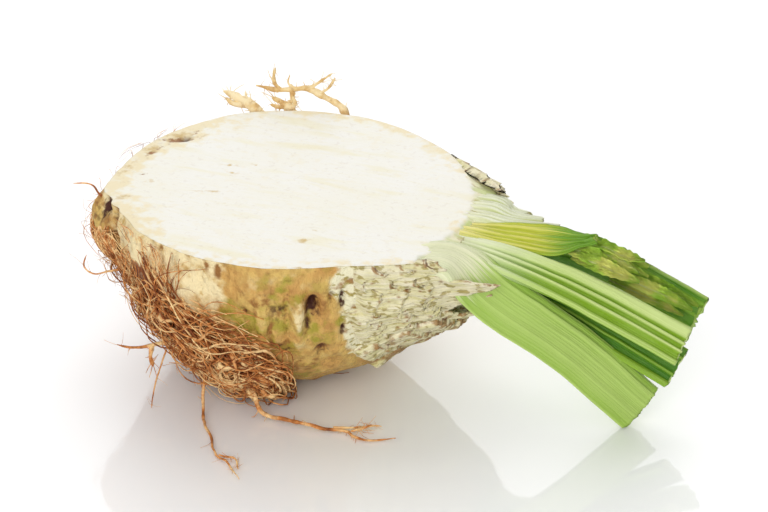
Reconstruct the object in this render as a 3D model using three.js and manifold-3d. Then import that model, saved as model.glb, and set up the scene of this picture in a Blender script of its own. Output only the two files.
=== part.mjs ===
// Half a celeriac root, cut lengthwise through the root pole and the crown.
// It lies on its round side with the cut face up and level, and the trimmed leaf
// stalks leave the crown along +X and droop to the table.
// Millimetres, +Z up. The origin is the middle of the small flat spot it rests on.
import * as THREE from 'three';
import { mergeVertices } from 'three/addons/utils/BufferGeometryUtils.js';
import Module from 'manifold-3d';

const wasm = await Module();
wasm.setup();

// ---- driving dimensions ----
const CUT_HEIGHT = 61;          // height of the level cut face above the table
const ROOT_RADIUS = 59;         // radius of the swollen root
const ROOT_DEPTH = 62.2;        // depth below the cut face before the flat spot takes its bottom off
const FRONT_NARROWING = 0.09;   // share by which the front rim lies inside the round outline
const CROWN_ANGLE = 50;         // degrees from +X at which the shoulder starts to taper to the crown
const NECK_X = 62.5;            // where the flesh ends and the stalks begin
const NECK_RADIUS = 29;         // radius of the crown at the neck
const CLEARANCE = 0.35;         // gap kept between neighbouring pieces
const STEP = 7.5;               // degrees between the surface lines of the root
const MAT_FLOOR = 0.6;          // lowest height that a mat of rootlets reaches
const SEAT = 0.7;               // height above the rind of the underside of what lies on it

const RAD = Math.PI / 180;
const CENTRE = new THREE.Vector3(0, 0, CUT_HEIGHT);

const COLOURS = {
  flesh: '#f3efdc',
  stalkBase: '#d5dcb0',
  paleStalk: '#a9c46e',
  stalk: '#9bbf55',
  darkStalk: '#4f8a1c',
  heartLeaf: '#c9c45a',
  youngLeaf: '#86b02c',
  rootlet: '#a8693a',
  paleRoot: '#d9b384',
};

// ---- the root's own surface ----

// Unit direction from the middle of the cut face; turn is round +Z from +X, dip is below the face.
function direction(turn, dip) {
  const t = turn * RAD;
  const d = dip * RAD;
  return new THREE.Vector3(Math.cos(t) * Math.cos(d), Math.sin(t) * Math.cos(d), -Math.sin(d));
}

// How far the straight taper from shoulder to neck lies along a direction, off its angle from +X.
function taperReach(angleFromX) {
  const a = CROWN_ANGLE * RAD;
  const shoulder = new THREE.Vector2(ROOT_RADIUS * Math.cos(a), ROOT_RADIUS * Math.sin(a));
  const run = new THREE.Vector2(NECK_X, NECK_RADIUS).sub(shoulder);
  const ray = new THREE.Vector2(Math.cos(angleFromX), Math.sin(angleFromX));
  return shoulder.cross(run) / ray.cross(run);
}

// Knob that swells out of the rind beside the root pole: its place, spread and height.
const KNOB = { turn: 204, dip: 10, spread: 12, height: 9 };

// Soft bulges of the rind, in millimetres.
function bulge(turn, dip) {
  const long = Math.sin(3 * turn * RAD + 1.3) * Math.cos(2 * dip * RAD);
  const short = Math.sin(9 * turn * RAD + 0.7) * Math.sin(3 * dip * RAD + 0.5);
  const offKnob = ((turn - KNOB.turn) ** 2 + (dip - KNOB.dip) ** 2) / KNOB.spread ** 2;
  return 0.7 * long + 0.45 * short + KNOB.height * Math.exp(-offKnob);
}

// Distance from the middle of the cut face to the rind.
function rootReach(turn, dip) {
  const dir = direction(turn, dip);
  const front = Math.max(0, -dir.y);
  const depth = ROOT_RADIUS + (ROOT_DEPTH - ROOT_RADIUS) * Math.sin(dip * RAD) ** 2;
  const ball = depth * (1 - FRONT_NARROWING * front * Math.cos(dip * RAD) ** 4) + bulge(turn, dip);
  const angleFromX = Math.acos(THREE.MathUtils.clamp(dir.x, -1, 1));
  return angleFromX < CROWN_ANGLE * RAD ? taperReach(angleFromX) * (ball / depth) : ball;
}

// Point on the rind, raised by a height and kept off the table by a floor.
function rindPoint(turn, dip, height = 0, floor = 0) {
  const point = direction(turn, dip).multiplyScalar(rootReach(turn, dip) + height).add(CENTRE);
  point.z = Math.max(point.z, floor);
  return point;
}

// ---- solids from rows of points ----

function solidFrom(points, triangles) {
  const geometry = new THREE.BufferGeometry().setFromPoints(points);
  geometry.setIndex(triangles);
  const merged = mergeVertices(geometry, 1e-4);
  const solid = new wasm.Manifold(new wasm.Mesh({
    numProp: 3,
    vertProperties: new Float32Array(merged.attributes.position.array),
    triVerts: new Uint32Array(merged.index.array),
  }));
  return solid;
}

// Closed solid through rings of equal length; flat outline gives the 2D shape of the end caps.
function loft(rings, outline) {
  const n = rings[0].length;
  const triangles = [];
  for (let r = 0; r + 1 < rings.length; r += 1) {
    for (let i = 0; i < n; i += 1) {
      const a = r * n + i;
      const b = r * n + ((i + 1) % n);
      triangles.push(a, b, b + n, a, b + n, a + n);
    }
  }
  const last = (rings.length - 1) * n;
  for (const [a, b, c] of THREE.ShapeUtils.triangulateShape(outline, [])) {
    triangles.push(c, b, a, last + a, last + b, last + c);
  }
  return solidFrom(rings.flat(), triangles);
}

// Closed solid of a patch of surface: rows of outer points over rows of inner points.
function slab(outer, inner) {
  const rows = outer.length;
  const cols = outer[0].length;
  const under = rows * cols;
  const triangles = [];
  const quad = (a, b, c, d) => triangles.push(a, b, c, a, c, d);
  for (let r = 0; r + 1 < rows; r += 1) {
    for (let c = 0; c + 1 < cols; c += 1) {
      const a = r * cols + c;
      quad(a, a + 1, a + 1 + cols, a + cols);
      quad(under + a, under + a + cols, under + a + 1 + cols, under + a + 1);
    }
  }
  for (let c = 0; c + 1 < cols; c += 1) {
    const far = (rows - 1) * cols + c;
    quad(c, under + c, under + c + 1, c + 1);
    quad(far, far + 1, under + far + 1, under + far);
  }
  for (let r = 0; r + 1 < rows; r += 1) {
    const a = r * cols;
    const b = a + cols - 1;
    quad(a, a + cols, under + a + cols, under + a);
    quad(b, under + b, under + b + cols, b + cols);
  }
  return solidFrom([...outer.flat(), ...inner.flat()], triangles);
}

function range(from, to, steps) {
  return Array.from({ length: steps + 1 }, (_, i) => from + ((to - from) * i) / steps);
}

// ---- the root ----

function rootHalf(grow) {
  const turns = range(0, 360 - STEP, 360 / STEP - 1);
  const dips = range(0, 90 - STEP, 90 / STEP - 1);
  const points = dips.flatMap((dip) => turns.map((turn) => {
    const point = rindPoint(turn, dip, grow, 0);
    point.x = Math.min(point.x, NECK_X + grow);
    if (dip === 0) point.z += grow;
    return point;
  }));
  const faceMiddle = points.length;
  points.push(CENTRE.clone().setZ(CUT_HEIGHT + grow));
  const restMiddle = points.length;
  points.push(new THREE.Vector3(0, 0, 0));
  const n = turns.length;
  const last = (dips.length - 1) * n;
  const triangles = [];
  for (let i = 0; i < n; i += 1) {
    const j = (i + 1) % n;
    triangles.push(faceMiddle, i, j, restMiddle, last + j, last + i);
    for (let r = 0; r < last; r += n) {
      triangles.push(r + i, r + n + i, r + n + j, r + i, r + n + j, r + j);
    }
  }
  return solidFrom(points, triangles);
}

// ---- leaf stalks and leaves ----

// Open channel section: rounded back with half width and depth, hollow face with its own depth.
function channelOutline(halfWidth, depth, hollow, lip) {
  const back = range(180, 360, 8).map((a) => new THREE.Vector2(
    halfWidth * Math.cos(a * RAD),
    depth * Math.sin(a * RAD),
  ));
  const inner = range(0, 180, 6).map((a) => new THREE.Vector2(
    (halfWidth - lip) * Math.cos(a * RAD),
    -hollow * Math.sin(a * RAD) + lip * 0.6,
  ));
  return [...back, ...inner];
}

// Stalk that follows a curve. Each station has a place, the way its face looks, its half width,
// the depth of its rounded back, the depth of its hollow face and the width of its lips.
function stalk({ stations, steps = 9 }, grow) {
  const path = new THREE.CatmullRomCurve3(stations.map((s) => new THREE.Vector3(...s.at)));
  const mix = (key, t) => {
    const f = t * (stations.length - 1);
    const i = Math.min(Math.floor(f), stations.length - 2);
    return THREE.MathUtils.lerp(stations[i][key], stations[i + 1][key], f - i);
  };
  const facing = (t) => {
    const f = t * (stations.length - 1);
    const i = Math.min(Math.floor(f), stations.length - 2);
    const from = new THREE.Vector3(...stations[i].faces);
    return from.lerp(new THREE.Vector3(...stations[i + 1].faces), f - i);
  };
  let outline = [];
  const rings = range(0, 1, steps).map((t) => {
    const middle = path.getPoint(t);
    const along = path.getTangent(t);
    if (t === 0) middle.addScaledVector(along, -grow);
    if (t === 1) middle.addScaledVector(along, grow);
    const side = new THREE.Vector3().crossVectors(facing(t), along).normalize();
    const up = new THREE.Vector3().crossVectors(along, side).normalize();
    outline = channelOutline(
      mix('half', t) + grow,
      mix('deep', t) + grow,
      Math.max(mix('hollow', t) - grow, -grow),
      Math.max(mix('lip', t), 0.4) + grow,
    );
    return outline.map((p) => middle.clone().addScaledVector(side, p.x).addScaledVector(up, p.y));
  });
  return loft(rings, outline);
}

const STALKS = {
  front_stalk: {
    colour: COLOURS.stalk,
    stations: [
      { at: [63.2, -20, 59.5], faces: [0, -0.2, 1], half: 7.5, deep: 10, hollow: 0.4, lip: 1.5 },
      { at: [77, -15.5, 47], faces: [0.3, -0.8, 0.5], half: 8.6, deep: 5, hollow: 0, lip: 1.5 },
      { at: [99.5, -5.8, 27.8], faces: [0.4, -0.8, 0.5], half: 8.6, deep: 5, hollow: 0.3, lip: 1.5 },
      { at: [119.8, 2.8, 6], faces: [0.4, -0.8, 0.5], half: 8.6, deep: 5.5, hollow: 0.6, lip: 1.5 },
    ],
  },
  middle_stalk: {
    colour: COLOURS.paleStalk,
    stations: [
      { at: [63.2, -8, 60], faces: [0, 0.1, 1], half: 6, deep: 6, hollow: 0.4, lip: 1.2 },
      { at: [85, -7, 57], faces: [0.2, -0.5, 1], half: 6.5, deep: 5, hollow: 1.5, lip: 1.5 },
      { at: [107, -2, 46.5], faces: [0.4, -0.6, 0.7], half: 7.6, deep: 5, hollow: 2, lip: 1.5 },
      { at: [133, 3.5, 32], faces: [0.4, -0.6, 0.65], half: 8, deep: 5, hollow: 2, lip: 1.5 },
    ],
  },
  heart_leaf: {
    colour: COLOURS.heartLeaf,
    stations: [
      { at: [63.3, 1.6, 60], faces: [0, 0.1, 1], half: 3.4, deep: 3.5, hollow: 0.2, lip: 0.8 },
      { at: [76, 2, 60.8], faces: [0, -0.2, 1], half: 5, deep: 3.2, hollow: 0.6, lip: 0.8 },
      { at: [90, 4, 61.3], faces: [0, -0.3, 1], half: 5.6, deep: 2.6, hollow: 0.8, lip: 0.8 },
      { at: [102, 8, 61.3], faces: [0, -0.3, 1], half: 1.6, deep: 1.2, hollow: 0.1, lip: 0.6 },
    ],
  },
  lower_stalk: {
    colour: COLOURS.darkStalk,
    stations: [
      { at: [64, -3, 44], faces: [0, -0.3, 1], half: 6.5, deep: 5.5, hollow: 0.4, lip: 1.2 },
      { at: [86, 1, 42], faces: [0.4, -0.8, 0.6], half: 6, deep: 4.5, hollow: 1.2, lip: 1.4 },
      { at: [108, 5.5, 31], faces: [0.4, -0.8, 0.6], half: 7, deep: 4.5, hollow: 1.6, lip: 1.4 },
      { at: [129, 9, 19.5], faces: [0.4, -0.8, 0.6], half: 7, deep: 4.5, hollow: 1.6, lip: 1.4 },
    ],
  },
  back_stalk: {
    colour: COLOURS.paleStalk,
    stations: [
      { at: [64, 11, 49.5], faces: [0, -0.2, 1], half: 7.5, deep: 6, hollow: 0.5, lip: 1.2 },
      { at: [87, 14, 49], faces: [0.2, -0.4, 1], half: 8, deep: 6, hollow: 3, lip: 1.4 },
      { at: [110, 16, 43], faces: [0.4, -0.6, 0.7], half: 8.4, deep: 6.5, hollow: 4.5, lip: 1.4 },
      { at: [132, 16, 34.5], faces: [0.4, -0.6, 0.65], half: 8.4, deep: 6.5, hollow: 4.5, lip: 1.4 },
    ],
  },
  back_sheath_1: {
    colour: COLOURS.stalkBase,
    stations: [
      { at: [63.3, 8.5, 60], faces: [0, 0.1, 1], half: 3.3, deep: 4.5, hollow: 0, lip: 0.8 },
      { at: [73, 9, 59.2], faces: [0, 0.1, 1], half: 3.2, deep: 4, hollow: 0.4, lip: 0.8 },
      { at: [87, 11, 59.6], faces: [0, 0.1, 1], half: 1.4, deep: 2, hollow: 0, lip: 0.6 },
    ],
  },
  back_sheath_2: {
    colour: COLOURS.stalkBase,
    stations: [
      { at: [63.3, 15.5, 59.8], faces: [0, 0.2, 1], half: 3.4, deep: 5, hollow: 0, lip: 0.8 },
      { at: [71, 15.5, 58.3], faces: [0, 0.2, 1], half: 3, deep: 4.5, hollow: 0.4, lip: 0.8 },
      { at: [80, 15.5, 58.6], faces: [0, 0.2, 1], half: 1.6, deep: 3, hollow: 0, lip: 0.6 },
    ],
  },
  back_sheath_3: {
    colour: COLOURS.stalkBase,
    stations: [
      { at: [63.3, 22.5, 59], faces: [0, 0.3, 1], half: 3.4, deep: 6, hollow: 0, lip: 0.8 },
      { at: [68, 22, 56.5], faces: [0, 0.3, 1], half: 3, deep: 5.5, hollow: 0.4, lip: 0.8 },
      { at: [73.5, 21, 56.5], faces: [0, 0.3, 1], half: 1.6, deep: 3, hollow: 0, lip: 0.6 },
    ],
  },
  young_leaf_1: {
    colour: COLOURS.youngLeaf,
    stations: [
      { at: [91, 10, 57.5], faces: [0, -0.3, 1], half: 2, deep: 1.4, hollow: 0, lip: 0.6 },
      { at: [98, 7, 57.5], faces: [0.2, -0.5, 1], half: 4.5, deep: 2, hollow: 0.6, lip: 0.6 },
      { at: [107, 7.5, 55], faces: [0.3, -0.5, 1], half: 5, deep: 2, hollow: 0.6, lip: 0.6 },
      { at: [118, 9, 49.5], faces: [0.3, -0.5, 1], half: 3, deep: 1.6, hollow: 0.2, lip: 0.6 },
    ],
  },
  young_leaf_2: {
    colour: COLOURS.youngLeaf,
    stations: [
      { at: [88, 16, 57], faces: [0, -0.3, 1], half: 1.6, deep: 1.6, hollow: 0, lip: 0.6 },
      { at: [97, 16, 55.5], faces: [0, -0.5, 1], half: 3.6, deep: 2, hollow: 0.6, lip: 0.6 },
      { at: [108, 18, 52], faces: [0, -0.5, 1], half: 2.6, deep: 1.6, hollow: 0.2, lip: 0.6 },
    ],
  },
  leaf_blade: {
    colour: COLOURS.youngLeaf,
    stations: [
      { at: [113, 15, 46.5], faces: [0.4, -0.6, 0.65], half: 2.5, deep: 1.4, hollow: 0, lip: 0.6 },
      { at: [122, 16, 43], faces: [0.4, -0.6, 0.65], half: 4.5, deep: 1.6, hollow: 0.4, lip: 0.6 },
      { at: [133, 16.5, 39], faces: [0.4, -0.6, 0.65], half: 4, deep: 1.5, hollow: 0.2, lip: 0.6 },
    ],
  },
};

// ---- trimmed stalk bases that wrap the crown ----

// Patch in angle from +X and angle round +X, from the front rim (0) under to the back rim (180).
function crownPoint(fromX, round, height) {
  const a = fromX * RAD;
  const r = round * RAD;
  const dir = new THREE.Vector3(Math.cos(a), -Math.sin(a) * Math.cos(r), -Math.sin(a) * Math.sin(r));
  const dip = Math.asin(-dir.z) / RAD;
  const turn = Math.atan2(dir.y, dir.x) / RAD;
  return dir.multiplyScalar(rootReach(turn, dip) + height).add(CENTRE);
}

// One scale-like base: thin at its root end, thickest past the middle, ending in a short tongue.
function stalkBase({ round, width, start, end, thick }, grow) {
  const along = range(0, 1, 6);
  const across = range(-0.5, 0.5, 4);
  const place = (u, v, height) => {
    const narrow = 1 - 0.45 * u ** 4;
    const fromX = THREE.MathUtils.lerp(start, end, u);
    return crownPoint(fromX, round + (width + 2 * grow) * v * narrow, height);
  };
  const outer = along.map((u) => across.map((v) => {
    const rise = 0.9 + thick * Math.sin(Math.PI * (0.15 + 0.6 * u)) * (1 - 1.6 * v * v);
    return place(u, v, SEAT + rise + grow);
  }));
  const inner = along.map((u) => across.map((v) => place(u, v, SEAT - grow)));
  return slab(outer, inner);
}

const STALK_BASES = [
  { round: 12.5, width: 24, start: 54, end: 21, thick: 3.2 },
  { round: 36, width: 23, start: 56, end: 24, thick: 3.0 },
  { round: 60, width: 23, start: 58, end: 27, thick: 3.2 },
  { round: 84, width: 23, start: 60, end: 30, thick: 3.4 },
  { round: 108, width: 23, start: 58, end: 28, thick: 3.2 },
  { round: 132, width: 23, start: 56, end: 25, thick: 3.0 },
  { round: 153, width: 17, start: 54, end: 23, thick: 3.0 },
  { round: 170, width: 15, start: 50, end: 24, thick: 3.0 },
];

// ---- rootlets ----

// Mat of rootlets on the rind between two turns, from its upper edge down to its lower one.
// The upper edge runs down from the first dip to the second.
function rootletMat({ turns, upper, lower, thick }, grow) {
  const rows = range(turns[0], turns[1], Math.round((turns[1] - turns[0]) / STEP));
  const shares = range(0, 1, Math.round((lower - upper[0]) / STEP));
  const fade = (i, count) => Math.sqrt(Math.sin((Math.PI * (i + 0.5)) / count));
  const upperDip = (turn) => {
    const share = THREE.MathUtils.smoothstep(turn, turns[0], turns[1]);
    return THREE.MathUtils.lerp(upper[0], upper[1], share ** 2);
  };
  const at = (turn, share, height) => (
    rindPoint(turn, THREE.MathUtils.lerp(upperDip(turn), lower, share), height, MAT_FLOOR)
  );
  const outer = rows.map((turn, i) => shares.map((share, j) => (
    at(turn, share, SEAT + 0.8 + thick * fade(i, rows.length) * fade(j, shares.length) + grow)
  )));
  const inner = rows.map((turn) => shares.map((share) => at(turn, share, SEAT - grow)));
  return slab(outer, inner);
}

const MATS = {
  rootlet_mat_front: { turns: [240, 292.5], upper: [6, 36], lower: 70, thick: 7 },
  rootlet_mat_left: { turns: [195, 239], upper: [15, 12], lower: 66, thick: 5.5 },
  rootlet_mat_root_pole: { turns: [150, 194], upper: [10, 10], lower: 60, thick: 4 },
  rootlet_mat_back: { turns: [97.5, 149], upper: [12, 12], lower: 60, thick: 4 },
};

// Root along a curve, thinning from a start radius to an end radius.
function taperedRoot({ through, radii, sides = 6, steps = 9 }, grow) {
  const path = new THREE.CatmullRomCurve3(through.map((p) => new THREE.Vector3(...p)));
  const frames = path.computeFrenetFrames(steps, false);
  const outline = range(0, sides - 1, sides - 1).map((i) => {
    const a = (2 * Math.PI * i) / sides;
    return new THREE.Vector2(Math.cos(a), Math.sin(a));
  });
  const rings = range(0, 1, steps).map((t, k) => {
    const radius = THREE.MathUtils.lerp(radii[0], radii[1], t) + grow;
    const middle = path.getPointAt(t);
    return outline.map((p) => middle.clone()
      .addScaledVector(frames.normals[k], p.x * radius)
      .addScaledVector(frames.binormals[k], p.y * radius));
  });
  return loft(rings, outline);
}

// A root with side roots, joined into one piece.
function branchedRoot(spec, grow) {
  const side = (spec.branches ?? []).map((branch) => taperedRoot(branch, grow));
  return side.reduce((whole, part) => whole.add(part), taperedRoot(spec, grow));
}

const ROOTS = {
  back_root_stub: {
    colour: COLOURS.paleRoot,
    through: [[-33, 51, 56], [-37, 52, 60.5], [-42, 52.5, 62.5], [-48, 53, 64]],
    radii: [3, 2.2],
  },
  back_root_branched: {
    colour: COLOURS.paleRoot,
    through: [
      [-7, 63, 57], [-10, 63, 61], [-15.5, 62, 64],
      [-22, 61, 66.3], [-32, 58, 65.5], [-38, 57, 66],
    ],
    radii: [1.8, 0.9],
    branches: [
      { through: [[-30, 58.6, 65.6], [-32, 58.4, 68], [-31.6, 58.3, 73]], radii: [0.9, 0.5], steps: 5 },
      { through: [[-21, 61, 66], [-17, 61.5, 69], [-12.4, 62, 73.3]], radii: [0.9, 0.5], steps: 5 },
    ],
  },
  back_root_bulb: {
    colour: COLOURS.paleRoot,
    through: [[-24, 57, 56], [-27, 57.5, 60.5], [-32, 56.5, 63]],
    radii: [2.4, 1.2],
  },
  floor_rootlet_front: {
    colour: COLOURS.rootlet,
    through: [[-12.6, -40, 9], [-10.8, -46, 2], [-4, -56, 1.2], [3.7, -66, 1.1], [17.7, -78.6, 1]],
    radii: [1, 0.6],
    branches: [
      { through: [[5.5, -68, 1.1], [12, -69, 1.1], [15, -73, 1]], radii: [0.6, 0.4], steps: 5 },
    ],
  },
  floor_rootlet_right: {
    colour: COLOURS.rootlet,
    through: [
      [4, -39, 8], [8.6, -41, 2.1], [24, -41, 1.6],
      [35.5, -39, 1.5], [43, -41, 1.3], [52, -36.5, 1.2],
    ],
    radii: [1.4, 0.7],
    branches: [
      { through: [[32, -39.4, 1.5], [40, -35, 1.3], [46, -33, 1.1]], radii: [0.9, 0.5], steps: 5 },
    ],
  },
  left_rootlet_forked: {
    colour: COLOURS.rootlet,
    through: [[-28, -37, 18], [-33, -40, 17], [-37, -41.5, 16.8], [-42, -43, 17.5]],
    radii: [1.4, 0.8],
    branches: [
      { through: [[-31.5, -39, 17.2], [-31, -41, 14], [-30, -42, 11]], radii: [1.1, 0.8], steps: 5 },
    ],
  },
  left_rootlet_hanging: {
    colour: COLOURS.rootlet,
    through: [[-27.4, -40, 13], [-27.5, -45, 8], [-27.3, -48, 4], [-27.2, -49.5, 0.8]],
    radii: [0.8, 0.5],
  },
  left_rootlet_curl: {
    colour: COLOURS.rootlet,
    through: [[-48, -34, 38.4], [-52, -36.5, 37.5], [-55.5, -37, 39.5], [-56, -35, 43]],
    radii: [0.9, 0.6],
  },
  left_rootlet_tip: {
    colour: COLOURS.rootlet,
    through: [[-56, -24.5, 60], [-58, -24.5, 62], [-61, -25, 62.8], [-64.5, -26, 63]],
    radii: [0.9, 0.5],
  },
};

// ---- put together, each piece giving way to the ones before it ----

function biggestBody(solid) {
  return solid.decompose().reduce((a, b) => (a.volume() >= b.volume() ? a : b));
}

const pieces = [];

function place(name, colour, roughness, build) {
  const cut = pieces.reduce((solid, earlier) => solid.subtract(earlier.grown), build(0));
  pieces.push({ name, colour, roughness, solid: biggestBody(cut.simplify(0.01)), grown: build(CLEARANCE) });
}

place('root_half', COLOURS.flesh, 0.6, rootHalf);
for (const [name, spec] of Object.entries(STALKS)) {
  place(name, spec.colour, 0.45, (grow) => stalk(spec, grow));
}
STALK_BASES.forEach((spec, i) => {
  place(`stalk_base_${i + 1}`, COLOURS.stalkBase, 0.6, (grow) => stalkBase(spec, grow));
});
for (const [name, spec] of Object.entries(MATS)) {
  place(name, COLOURS.rootlet, 0.85, (grow) => rootletMat(spec, grow));
}
for (const [name, spec] of Object.entries(ROOTS)) {
  place(name, spec.colour, 0.8, (grow) => branchedRoot(spec, grow));
}

function meshOf({ name, colour, roughness, solid }) {
  const { vertProperties, triVerts } = solid.getMesh();
  const geometry = new THREE.BufferGeometry();
  geometry.setAttribute('position', new THREE.BufferAttribute(vertProperties, 3));
  geometry.setIndex(new THREE.BufferAttribute(triVerts, 1));
  geometry.computeVertexNormals();
  const material = new THREE.MeshStandardMaterial({ color: colour, roughness, metalness: 0 });
  const mesh = new THREE.Mesh(geometry, material);
  mesh.name = name;
  return mesh;
}

const celeriac = new THREE.Group();
celeriac.name = 'celeriac_half';
pieces.forEach((piece) => celeriac.add(meshOf(piece)));

export default celeriac;
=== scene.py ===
"""Looks of half a celeriac root: cut face, rind, trimmed stalk bases, stalks, leaves and rootlets.

The root lies on its round side with the cut face up. Metres, +Z up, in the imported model's frame.
Angles on the rind: turn runs round +Z from +X, dip runs down from the cut face, both in degrees.
Angles on the crown: from_x opens from the +X axis, round runs from the front rim under to the back.
"""
import logging
import math
from dataclasses import dataclass, field
from enum import Enum

import bmesh
import bpy
import numpy as np
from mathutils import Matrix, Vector
from mathutils.bvhtree import BVHTree


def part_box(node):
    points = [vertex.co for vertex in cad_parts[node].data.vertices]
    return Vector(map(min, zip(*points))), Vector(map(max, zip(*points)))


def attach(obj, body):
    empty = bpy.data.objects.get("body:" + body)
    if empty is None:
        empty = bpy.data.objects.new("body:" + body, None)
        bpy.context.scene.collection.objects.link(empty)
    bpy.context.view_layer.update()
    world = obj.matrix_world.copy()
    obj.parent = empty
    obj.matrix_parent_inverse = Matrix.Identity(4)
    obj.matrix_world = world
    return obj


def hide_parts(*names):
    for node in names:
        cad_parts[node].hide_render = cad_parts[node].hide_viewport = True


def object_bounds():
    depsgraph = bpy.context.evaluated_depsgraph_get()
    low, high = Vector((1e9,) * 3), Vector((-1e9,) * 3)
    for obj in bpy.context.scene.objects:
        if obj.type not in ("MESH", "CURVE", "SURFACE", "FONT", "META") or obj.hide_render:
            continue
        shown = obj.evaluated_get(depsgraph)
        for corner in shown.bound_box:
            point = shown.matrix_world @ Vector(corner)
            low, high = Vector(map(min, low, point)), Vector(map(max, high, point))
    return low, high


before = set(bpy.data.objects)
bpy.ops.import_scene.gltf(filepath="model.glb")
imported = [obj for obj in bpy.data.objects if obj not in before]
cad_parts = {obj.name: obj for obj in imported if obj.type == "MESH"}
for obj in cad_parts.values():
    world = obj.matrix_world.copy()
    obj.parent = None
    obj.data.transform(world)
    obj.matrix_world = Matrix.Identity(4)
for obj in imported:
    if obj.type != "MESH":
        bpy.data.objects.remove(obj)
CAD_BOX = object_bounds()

MM = 0.001
BODY = "root"
log = logging.getLogger("celeriac")

Array = np.ndarray
Socket = bpy.types.NodeSocket
Tree = bpy.types.NodeTree
Node = bpy.types.Node
Material = bpy.types.Material
Mesh = bpy.types.Mesh
Object = bpy.types.Object
Colour = tuple[float, float, float, float]


class Slot(Enum):
    """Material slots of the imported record."""

    ROOT = "root_flesh_and_rind"
    BASE = "stalk_base"
    PALE_STALK = "pale_green_stalk"
    DARK_STALK = "dark_green_stalk"
    YOUNG_LEAF = "young_leaf"
    ROOTLET = "rootlet"
    PALE_ROOT = "pale_root"


# ---- numbers and shapes ----


def tone(red: int, green: int, blue: int) -> Colour:
    """Scene-linear colour of a screen colour.

    Args:
        red, green, blue: Screen values from 0 to 255.

    Returns:
        The same colour as scene-linear red, green, blue and alpha.
    """
    share = [c / 255 for c in (red, green, blue)]
    linear = [s / 12.92 if s <= 0.04045 else ((s + 0.055) / 1.055) ** 2.4 for s in share]
    return (linear[0], linear[1], linear[2], 1.0)


def ease(low: float, high: float, value: Array) -> Array:
    """Smooth step of a value from 0 at low to 1 at high; low may be the greater.

    Args:
        low: Value that gives 0.
        high: Value that gives 1.
        value: Numbers to map.

    Returns:
        Numbers from 0 to 1.
    """
    share = np.clip((value - low) / (high - low), 0, 1)
    return share * share * (3 - 2 * share)


def unit(vectors: Array) -> Array:
    """Vectors scaled to length 1."""
    return vectors / np.maximum(np.linalg.norm(vectors, axis=-1, keepdims=True), 1e-12)


class Noise:
    """Smooth seeded noise in space, from -1 to 1."""

    CELLS = 32
    LAYER_SHIFT = 7.3
    LAYER_SUM = 1.4

    def __init__(self, seed: int, size: float) -> None:
        """Draws the lattice.

        Args:
            seed: Seed of the lattice.
            size: Distance between lattice points.
        """
        self.size = size
        self.lattice = np.random.default_rng(seed).uniform(-1, 1, (self.CELLS,) * 3)

    def __call__(self, points: Array) -> Array:
        """Noise at points.

        Args:
            points: Places, last axis of length 3.

        Returns:
            One value for each point.
        """
        place = points / self.size
        cell = np.floor(place).astype(int)
        part = place - cell
        part = part * part * (3 - 2 * part)
        total = np.zeros(points.shape[:-1])
        for corner in np.ndindex(2, 2, 2):
            index = (cell + np.array(corner)) % self.CELLS
            weight = np.prod(np.where(np.array(corner) == 1, part, 1 - part), axis=-1)
            total += weight * self.lattice[index[..., 0], index[..., 1], index[..., 2]]
        return total

    def rough(self, points: Array, octaves: int = 3) -> Array:
        """Fractal sum of the noise.

        Args:
            points: Places, last axis of length 3.
            octaves: Number of layers, each half the size of the one before.

        Returns:
            One value for each point, mostly from -1 to 1.
        """
        layers = (self(points * 2**k + self.LAYER_SHIFT * k * self.size) / 2**k for k in range(octaves))
        return sum(layers) / self.LAYER_SUM


def spline(knots: Array, count: int) -> Array:
    """Points evenly spread in parameter on a smooth curve through knots.

    Args:
        knots: Rows of numbers to pass through.
        count: Number of rows wanted.

    Returns:
        The rows on the curve.
    """
    knots = np.asarray(knots, float)
    padded = np.vstack([2 * knots[0] - knots[1], knots, 2 * knots[-1] - knots[-2]])
    place = np.linspace(0, len(knots) - 1, count)
    i = np.minimum(place.astype(int), len(knots) - 2)
    t = (place - i)[:, None]
    a, b, c, d = (padded[i + k] for k in range(4))
    return b + 0.5 * t * (c - a + t * (2 * a - 5 * b + 4 * c - d + t * (3 * (b - c) + d - a)))


def from_low_corner(node: str, offset: tuple[float, float, float]) -> Array:
    """Place in metres of an offset in millimetres from a CAD node's lowest corner."""
    return np.array(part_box(node)[0]) + MM * np.array(offset, float)


@dataclass
class Shell:
    """Plain mesh data: points in metres, faces as index rows, values stored on the points."""

    points: Array
    faces: list[Array]
    values: dict[str, Array] = field(default_factory=dict)

    def mesh(self, name: str, material: Material) -> Mesh:
        """Makes the Blender mesh.

        Args:
            name: Name of the mesh.
            material: Its only material.

        Returns:
            The mesh, smooth shaded, with the values as attributes.
        """
        made = bpy.data.meshes.new(name)
        made.vertices.add(len(self.points))
        made.vertices.foreach_set("co", self.points.astype(np.float32).ravel())
        corners = np.concatenate([f.ravel() for f in self.faces])
        sides = np.concatenate([np.full(len(f), f.shape[1]) for f in self.faces])
        made.loops.add(len(corners))
        made.loops.foreach_set("vertex_index", corners.astype(np.int32))
        made.polygons.add(len(sides))
        starts = np.concatenate([[0], np.cumsum(sides)[:-1]])
        made.polygons.foreach_set("loop_start", starts.astype(np.int32))
        made.update(calc_edges=True)
        made.validate()
        for key, numbers in self.values.items():
            attribute = made.attributes.new(key, "FLOAT", "POINT")
            attribute.data.foreach_set("value", numbers.astype(np.float32).ravel())
        made.shade_smooth()
        made.materials.append(material)
        return made


def grid_faces(rows: int, columns: int, closed: bool, first: int = 0) -> Array:
    """Quads between the points of a grid.

    Args:
        rows: Rows of points.
        columns: Points in a row.
        closed: Whether each row's end joins its start.
        first: Index of the grid's first point.

    Returns:
        Index rows of four.
    """
    row = np.arange(rows - 1)[:, None] * columns
    column = np.arange(columns if closed else columns - 1)[None, :]
    after = (column + 1) % columns
    quads = [row + column, row + columns + column, row + columns + after, row + after]
    return np.stack([q.ravel() for q in quads], axis=1) + first


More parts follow.
